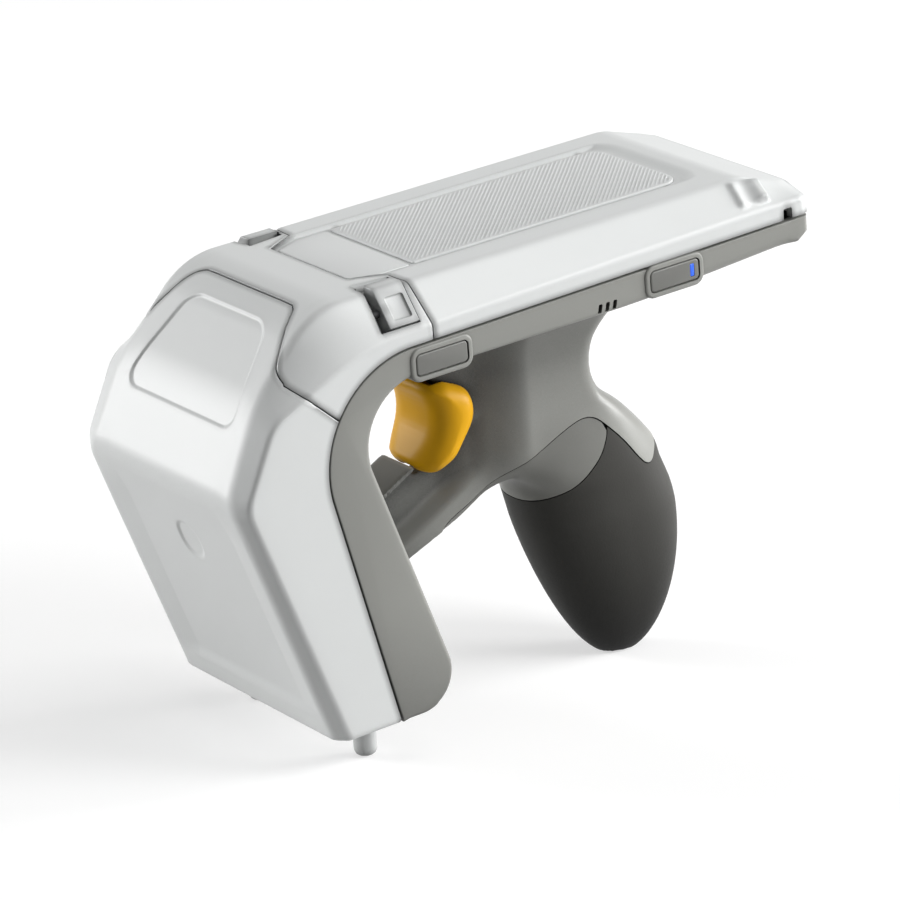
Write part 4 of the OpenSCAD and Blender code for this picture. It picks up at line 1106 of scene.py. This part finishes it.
HEEL, INNER_CORNER, TRAY_LOW = (-22.4, -HEAD_H), (-52.0, -21.9), (44, -21.9)
BAND_GAP = 0.85
BAND_R, HEEL_EDGE_R, SEAM_EDGE_R = 1.5, 1.2, 0.35
KEYS = {"fn": (-23.0, -19.3), "power": (49.5, -17.3)}
KEY_HALF_L, KEY_HALF_H, KEY_CORNER, KEY_GAP, KEY_RIM = 7.7, 2.75, 1.2, 0.3, 1.4
KEY_BACK, KEY_ROOM_FLOOR, KEY_BOSS_BACK = 33.4, 31.2, 29.4
LAMP_Y, LAMP_HALF_L, LAMP_HALF_H, LAMP_CORNER = 55.0, 0.7, 1.7, 0.3
VENT_Y, VENT_STEP, VENT_HALF, VENT_LEAN, VENT_DEEP = 28.2, 2.3, 0.6, 0.25, 1.6
KNUCKLE_FOOT = [(91.1, -9.2), (93.5, -9.2), (93.5, -14.1), (91.1, -14.1)]


def key_outline(centre, grow):
    """A key's outline in the side view, grown on all sides."""
    return round_box(centre, KEY_HALF_L + grow, KEY_HALF_H + grow, KEY_CORNER + grow, 6)


def corner_cut(side, radius):
    """What the rounded rear corner takes off, seen from above."""
    centre = np.array([HALF_BAND - radius, DECK_REAR - radius])
    turn = np.linspace(0, pi / 2, 14)
    arc = centre + radius * np.stack([np.cos(turn), np.sin(turn)], 1)
    (inner, front), outer, rear = centre - 6, HALF_W + 9, DECK_REAR + 9
    outline = np.vstack([[(arc[0, 0], front), (outer, front), (outer, rear), (inner, rear),
                          (inner, DECK_REAR)], arc[::-1]])
    return mirrored(outline, side)


def band_rounding(outline):
    """How far the band's side edges are rounded at each point of its outline."""
    y, z = outline.T
    at_seam = np.array([min(abs(p[0] - q[0]) + abs(p[1] - q[1]) for q in seam_line) < 2.2
                        for p in outline])
    r = np.where(z < 1.5 - HEAD_H, HEEL_EDGE_R, BAND_R + BAND_R * smooth_step((y - 30) / 30))
    return np.where(at_seam, SEAM_EDGE_R, np.interp(y, [86, 91], [1, 0.25]) * r)


def vent_outline(y):
    """One leaning sounder slot."""
    a, lean, low, high = VENT_HALF, VENT_LEAN, -21.2, -18.8
    return rounded([(y - a - lean, low, 0.3), (y + a - lean, low, 0.3),
                    (y + a + lean, high, 0.3), (y - a + lean, high, 0.3)], 3)


def grey_band():
    """The band's shell, with the key bosses, the vents and the hinge barrels of the base."""
    corners = [(DECK_REAR, SEAM_REAR[1] - BAND_GAP),
               (SEAM_CORNER[0] + BAND_GAP, SEAM_CORNER[1] - BAND_GAP, SEAM_R - BAND_GAP),
               (SEAM_CHIN[0] + BAND_GAP, SEAM_CHIN[1]), (*HEEL, 10), (*INNER_CORNER, 16),
               TRAY_LOW, (90.2, -19.3, 1.5), (DECK_REAR, -16.4, 0.8)]
    outline = anticlockwise(spaced(rounded(corners, 20), 3.0))
    r = band_rounding(outline)
    band = prism("grey_band", outline, -HALF_BAND, HALF_BAND, round_low=r, round_high=r, steps=5)
    hollow = [(DECK_REAR - WALL, -5), (SEAM_CORNER[0] - 3, SEAM_CORNER[1] + 12, SEAM_R + 8),
              (SEAM_CHIN[0] - 8, -HEAD_H + WALL), (HEEL[0] - WALL * 1.3, HEEL[1] + WALL, 8),
              (INNER_CORNER[0] - WALL, INNER_CORNER[1] + WALL, 18),
              (TRAY_LOW[0], TRAY_LOW[1] + WALL), (DECK_REAR - WALL, -18.9 + WALL, 2)]
    carve(band, prism("hollow", rounded(hollow, 12), -HALF_BAND + WALL, HALF_BAND - WALL))
    for side in (-1, 1):
        carve(band, prism("corner", corner_cut(side, 2.0), -60, 20, "plan"))
    for centre in KEYS.values():
        boss = prism("boss", key_outline(centre, KEY_GAP + KEY_RIM), KEY_BOSS_BACK, HALF_W,
                     round_high=0.7)
        carve(band, boss, "UNION")
        carve(band, prism("room", key_outline(centre, KEY_GAP), KEY_ROOM_FLOOR, HALF_W + 3))
    for k in (-1, 0, 1):
        vent = vent_outline(VENT_Y + k * VENT_STEP)
        carve(band, prism("vent", vent, HALF_BAND - VENT_DEEP, HALF_W + 3))
    barrels = []
    for k in BASE_KNUCKLES:
        x = k * KNUCKLE_STEP
        barrels.append(prism("foot", KNUCKLE_FOOT, x - KNUCKLE_HALF, x + KNUCKLE_HALF))
        barrels.append(knuckle("barrel", x, BASE_BORE))
    band = joined("grey_band", band, *barrels)
    return finished(band, grey_shell, "base", ["tray", "head_back"])


def key(name, body, node, centre):
    """A side key with an eased face. The power key also gets the lens of its lamp."""
    piece = prism(name, key_outline(centre, 0), KEY_BACK, HALF_W - 0.02, round_high=0.45)
    if node == "power_button":
        lamp = round_box((LAMP_Y, centre[1]), LAMP_HALF_L, LAMP_HALF_H, LAMP_CORNER, 3)
        carve(piece, prism("lamp_room", lamp, KEY_BACK - 1, HALF_W + 1))
        lens = prism("lamp_lens", anticlockwise(grown(anticlockwise(lamp), -0.05)), KEY_BACK,
                     HALF_W, round_high=0.3)
        finished(lens, lamp_blue, body, ["led_lens"])
    return finished(piece, key_grey, body, [node])


# Handle: neck, strut and grip as one soft body, parted along its seams

STRUT_HALF, NECK_HALF = 7.1, 14.0
FLARE = 17.0
NECK_TOP = -21.6
neck_outline = rounded([(-21, NECK_TOP + 3), (-21, NECK_TOP), (-10.5, -35, 5), (2.2, -46.5, 9),
                        (-3.4, -59.9, 2.5), (-12.0, -62.9, 1.5), (-14.2, -58.5, 1.0),
                        (-37.0, -70.2), (-31.2, -88.0), (15.5, -70.4, 5), (30, -74),
                        (55, -77), (61.5, -73.5, 2), (35, -44, 13), (54, NECK_TOP),
                        (54, NECK_TOP + 3)], 8)
neck_field = outline_field(neck_outline)
GRIP_TOP, GRIP_LOW, GRIP_FULL = -54.0, -132.3, -86.0
GRIP_HALF_W, GRIP_HALF_D, GRIP_SQUARE = 16.8, 23.2, 2.3
GRIP_FOOT_Y, GRIP_LEAN = 51, 15.5
GRIP_WAIST, WAIST_Z, WAIST_LONG = 0.22, -76, 22
STRUT_EASE, EASE_GAIN, GRIP_END, GRIP_EASE, NECK_BLEND = 1.2, 3.8, -56, 6.0, 5.0
FLOOR_GAP = 0.03
LUG_ROOM = (-4.5, -33), (3.9, 6.5, 9.0)
INSET, INSET_TOP, INSET_FRONT = 0.2, -53, -11.5
FRAME_BOX = (-33.0, -40.0, -132.5), (33.0, 70.0, -19.0)
GRIP_BOX = (-20.0, -14.0, -132.5), (20.0, 70.0, -52.0)
REAR_Z, REAR_SHARE = ([-90, -84, -78, -72, -65, -60, -54],
                      [1, 0.985, 0.945, 0.88, 0.79, 0.71, 0.64])


def grip_field(x, y, z):
    """The pistol grip: rounded rings that lean back and close towards the bottom."""
    down = np.clip((GRIP_FULL - z) / (GRIP_FULL - GRIP_LOW), 0, 1)
    size = np.sqrt(np.maximum(1 - down ** 1.6, 0.0004))
    size = size * (1 - GRIP_WAIST * np.clip((z - WAIST_Z) / WAIST_LONG, 0, 2) ** 2)
    up = np.clip((z - GRIP_LOW) / (GRIP_TOP - GRIP_LOW), 0, 1.4)
    middle = GRIP_FOOT_Y - GRIP_LEAN * up ** 1.8
    drawn_in = np.where(y > middle, np.interp(z, REAR_Z, REAR_SHARE), 1)
    a, b = GRIP_HALF_W * size, GRIP_HALF_D * size * drawn_in
    ring = (np.abs(x) / a) ** GRIP_SQUARE + (np.abs(y - middle) / b) ** GRIP_SQUARE
    ring = ring ** (1 / GRIP_SQUARE)
    return np.maximum((ring - 1) * np.minimum(a, b), GRIP_LOW + 0.4 - z)


WEB_DEEP, WEB_SLOPE = 4.4, 0.514


def neck_half(y, z):
    """Half the width of the neck and strut at a place in the side view: slim at the strut, with
    a hollowed web, wider at the neck and flared under the tray."""
    cheek = STRUT_HALF + (NECK_HALF - STRUT_HALF) * smooth_step((y - 3) / 15)
    strut = STRUT_HALF + (NECK_HALF - STRUT_HALF) * smooth_step((y - 6) / 22)
    half = strut + (cheek - strut) * smooth_step((z + 74) / 14)
    below = -59.0 + WEB_SLOPE * (y + 15.2) - z
    web = -WEB_DEEP * smooth_step((below - 0.4) / 3.6) * smooth_step((19.0 - below) / 5.0)
    half = half + web * (1 - smooth_step((y + 6) / 14))
    half = half - 8 * smooth_step((y - 38) / 36)
    fall = np.clip(NECK_TOP - z, 0, FLARE)
    return half + FLARE - np.sqrt(FLARE ** 2 - (FLARE - fall) ** 2)


def body_field(x, y, z):
    """Neck, strut and grip together, before the seams part them."""
    eased = STRUT_EASE + EASE_GAIN * smooth_step((y + 4) / 16)
    neck = soft_max(neck_field(y, z), np.abs(x) - neck_half(y, z), eased)
    grip = soft_max(grip_field(x, y, z), z - GRIP_END, GRIP_EASE)
    whole = soft_min(neck, grip, NECK_BLEND)
    floor = FLOOR_GAP - y * sin(TILT) - z * cos(TILT) - SHIFT_Z
    return np.maximum(np.maximum(whole, z - NECK_TOP - 0.4), floor)


def frame_field(x, y, z):
    """The body with the slot for the trigger's lug taken out."""
    (y_mid, z_mid), (half_x, half_y, half_z) = LUG_ROOM
    slot = np.maximum(np.maximum(np.abs(x) - half_x, np.abs(y - y_mid) - half_y),
                      np.abs(z - z_mid) - half_z)
    return np.maximum(body_field(x, y, z), -slot)


def inset_field(x, y, z):
    """The body a little smaller, as far as the grip reaches."""
    return np.maximum(np.maximum(body_field(x, y, z) + INSET, z - INSET_TOP), INSET_FRONT - y)


upper_seam = flowing([(-7.4, -79.4), (-6.2, -77.4), (-3.6, -75.6), (4.2, -72.0), (14.5, -65.9),
                      (23.5, -60.6), (29.6, -57.9), (34.0, -57.1), (37.4, -58.1), (41.0, -61.4),
                      (45.4, -66.2), (50.0, -72.2), (52.8, -74.8), (55.4, -75.0), (58.4, -72.6),
                      (63, -68.6), (80, -60)], 8)
lower_seam = flowing([(40.4, -60.8), (39.6, -64.0), (36.4, -69.0), (28.7, -75.2), (19, -79.6),
                      (5, -84.0), (-12, -88.5)], 8)
HALF_SEAM = 0.16


def seam_prism(name, outline):
    """What lies inside a region of the side view, half a seam in from its outline."""
    return prism(name, grown(anticlockwise(outline), -HALF_SEAM), -60, 60)


def frame_region():
    """Above the upper seam: the neck and the strut."""
    return np.vstack([upper_seam, [(80, 20), (-90, 20), (-90, -100), (-9.5, -100), (-9.5, -79.6)]])


def collar_region():
    """Between the two seams."""
    top = upper_seam[upper_seam[:, 0] < 39.4]
    return np.vstack([top, lower_seam[3:], [(-12, -86.5)]])


def rubber_region():
    """Below the lower seam, and behind the collar below the upper one."""
    rear = upper_seam[upper_seam[:, 0] > 41.4]
    return np.vstack([lower_seam[::-1], rear, [(90, -60), (90, -140), (-12, -140)]])


def handle(step):
    """The neck and strut, the collar and the rubber sleeve, each parted from one body."""
    upper = skin("handle_frame_shell", frame_field, *FRAME_BOX, step)
    carve(upper, seam_prism("region", frame_region()), "INTERSECT")
    finished(upper, neck_grey_deep_shade, "base", ["handle_frame"], 32)
    for name, region, finish, slot, node in (
            ("collar_panel", collar_region(), collar_grey, "collar_grey", "grip_collar"),
            ("rubber_sleeve", rubber_region(), grip_rubber, "grip_rubber", "rubber_grip")):
        part = skin(name, inset_field, *GRIP_BOX, step)
        carve(part, seam_prism("region", region), "INTERSECT")
        finished(part, finish, "base", [node], 32)


# Trigger: a glossy saddle, hollowed where the neck would meet it as it is pulled

PIVOT, PIN_HOLE_R = (-4.0, -30.0), 1.06
PULLS = [radians(a) for a in (0, 2.7, 5.4, 8.2)]
TRIGGER_HALF, LUG_HALF, TRIGGER_GAP = 12.2, 3.5, 0.45
trigger_side = outline_field(rounded(
    [(-11.4, -38.2, 2.0), (-6.2, -46.8, 12), (-13.1, -59.2, 2.2), (-9.6, -62.6, 3.5),
     (-2.6, -59.2, 9), (6.2, -47.0, 9), (2.0, -40.8, 9), (-5, -37.6, 6)], 8))
lug_side = outline_field(rounded([(-9.4, -41), (-0.6, -41), (-0.6, -26.6, 3.3),
                                  (-7.4, -26.6, 3.3), (-7.4, -36)], 8))


def swept_neck(x, y, z):
    """How near the neck comes to a point of the trigger over the trigger's whole travel."""
    v, w = y - PIVOT[0], z - PIVOT[1]
    nearest = []
    for a in PULLS:
        spot = PIVOT[0] + v * cos(a) - w * sin(a), PIVOT[1] + w * cos(a) + v * sin(a)
        nearest.append(np.maximum(neck_field(*spot), np.abs(x) - neck_half(*spot)))
    return np.minimum.reduce(nearest)


def trigger_field(x, y, z):
    """The saddle, less the neck's room, with a lug on the pin."""
    half = TRIGGER_HALF * (1 - np.clip((-1.0 - y) / 13, 0, 0.97) ** 3) ** (1 / 3)
    body = soft_max(trigger_side(y, z), np.abs(x) - half, 6.5)
    hollow = swept_neck(x, y, z) - TRIGGER_GAP
    lug = np.maximum(lug_side(y, z), np.abs(x) - LUG_HALF)
    hole = np.hypot(y - PIVOT[0], z - PIVOT[1]) - PIN_HOLE_R
    return np.maximum(np.minimum(np.maximum(body, -hollow), lug), -hole)


def trigger_piece(step):
    """The trigger's skin, from cubes of one size."""
    piece = skin("trigger_blade", trigger_field, (-13.0, -22.5, -64.0), (13.0, 7.5, -25), step)
    return finished(piece, amber, "trigger_arm", ["trigger"], 45)


# Pegs under the head

PEG_X, PEG_Y = 23.5, -46.7


def pegs():
    """Two pegs with rounded feet that reach the floor the CAD model stands on."""
    low = [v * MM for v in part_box("foot_pegs")[0]]
    floor = (low[2] - SHIFT_Z - PEG_Y * sin(TILT)) / cos(TILT)
    profile = [(1.5, floor + 0.32), (2.1, floor + 0.45), (2.6, floor + 0.85), (2.9, floor + 1.5),
               (3.0, floor + 2.3), (3.0, -HEAD_H - 0.6), (2.8, -HEAD_H + 0.4)]
    turns = np.linspace(0, 2 * pi, 36, endpoint=False)
    made = []
    for side in (-1, 1):
        made.append(loft("peg", [[(side * PEG_X + r * cos(t), PEG_Y + r * sin(t), z) for t in turns]
                                 for r, z in profile]))
    return finished(joined("peg_pair", *made), white_shell, "base", ["foot_pegs"])


# Finishes of the pieces that stay as the CAD draws them

CAD_FINISHES = {
    "cover_seal": dark_rubber, "hinge_pin": steel, "latch_spring_left": black_steel,
    "latch_spring_right": black_steel, "trigger_pin": steel, "trigger_spring": black_steel,
    "trigger_switch": dark_plastic, "key_switches": dark_plastic, "battery": cell_wrap,
    "battery_tray": dark_plastic, "battery_contacts": brass, "main_board": board_green,
    "radio_module": steel, "beeper": dark_plastic, "board_screws": steel,
    "antenna_board": board_green, "ground_plate": steel, "antenna_screws": steel,
    "coax_lead": dark_rubber}


def dress_cad():
    """Gives the CAD pieces that show as they are their finishes."""
    for node, finish in CAD_FINISHES.items():
        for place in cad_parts[node].material_slots:
            place.material = finish


# Camera and studio

CAMERA_TURN, CAMERA_LIFT, CAMERA_BACK = radians(53.9), radians(18.7), 1.2698
SENSOR_MM, LENS_MM, AIM = 36, 200.3, (2.79, 0, -59.3)
AMBIENT = 0.07
FLOOR_GREY, FLOOR_GLOW, FLOOR_HALF, FLOOR_DROP = 0.52, 0.54, 6.0, 0.0002
SOFTBOXES = {"overhead": ((0.5, 0.3, 2.2), (1.4, 1.4), 9),
             "left front": ((-1.80, -1.58, 0.52), (1.0, 1.2), 52),
             "right": ((1.62, 1.30, 1.25), (1.0, 1.2), 37),
             "rear": ((0.70, 2.22, 0.66), (0.8, 1.0), 50)}


def set_camera(aim):
    """The camera at the fitted angle and distance."""
    lens = bpy.data.cameras.new("camera")
    lens.sensor_width, lens.lens, lens.clip_end = SENSOR_MM, LENS_MM, 20
    camera = linked("camera", lens)
    back = Vector((sin(CAMERA_TURN) * cos(CAMERA_LIFT), -cos(CAMERA_TURN) * cos(CAMERA_LIFT),
                   sin(CAMERA_LIFT)))
    camera.location = aim + back * CAMERA_BACK
    camera.rotation_euler = back.to_track_quat("Z", "Y").to_euler()
    bpy.context.scene.camera = camera


def set_sky():
    """A world that looks white and gives little light."""
    world = bpy.data.worlds.new("studio")
    bpy.context.scene.world = world
    world.use_nodes = True
    sky = Shading(world.node_tree, "Background")
    sky.feed("Color", (1, 1, 1, 1))
    sky.feed("Strength", AMBIENT + sky.looked_at() * (1 - AMBIENT))


def set_lamps(aim):
    """Soft boxes around the unit, each turned towards it."""
    for name, (place, size, watts) in SOFTBOXES.items():
        lamp = bpy.data.lights.new(name, "AREA")
        lamp.shape = "RECTANGLE"
        lamp.size, lamp.size_y = size
        lamp.energy = watts
        box = linked(name, lamp)
        box.location = Vector(place)
        box.rotation_euler = (box.location - aim).to_track_quat("Z", "Y").to_euler()


def set_floor():
    """A pale floor that keeps the unit's shadow."""
    a = FLOOR_HALF
    mesh = bpy.data.meshes.new("floor")
    mesh.from_pydata([(-a, -a, 0), (a, -a, 0), (a, a, 0), (-a, a, 0)], [], [(0, 1, 2, 3)])
    floor = linked("floor", mesh)
    floor.location.z = cad_low.z - FLOOR_DROP
    finish = Finish("pale floor", (FLOOR_GREY,) * 3, 0.9, Emission_Strength=1.0)
    finish.feed("Emission Color", finish.looked_at() * FLOOR_GLOW)
    mesh.materials.append(finish.material)


def studio():
    """Camera, light and floor."""
    bpy.context.scene.view_settings.view_transform = "Standard"
    aim = Vector(stood([AIM])[0])
    set_camera(aim)
    set_sky()
    set_lamps(aim)
    set_floor()


deck_cover()
ribbed_pad()
smooth_plate()
hood()
latch(1)
latch(-1)
antenna_cover()
grey_band()
key("fn_key_cap", "fn_key", "fn_button", KEYS["fn"])
key("power_key_cap", "power_key", "power_button", KEYS["power"])
handle(step=0.8)
trigger_piece(step=0.45)
pegs()
dress_cad()
studio()
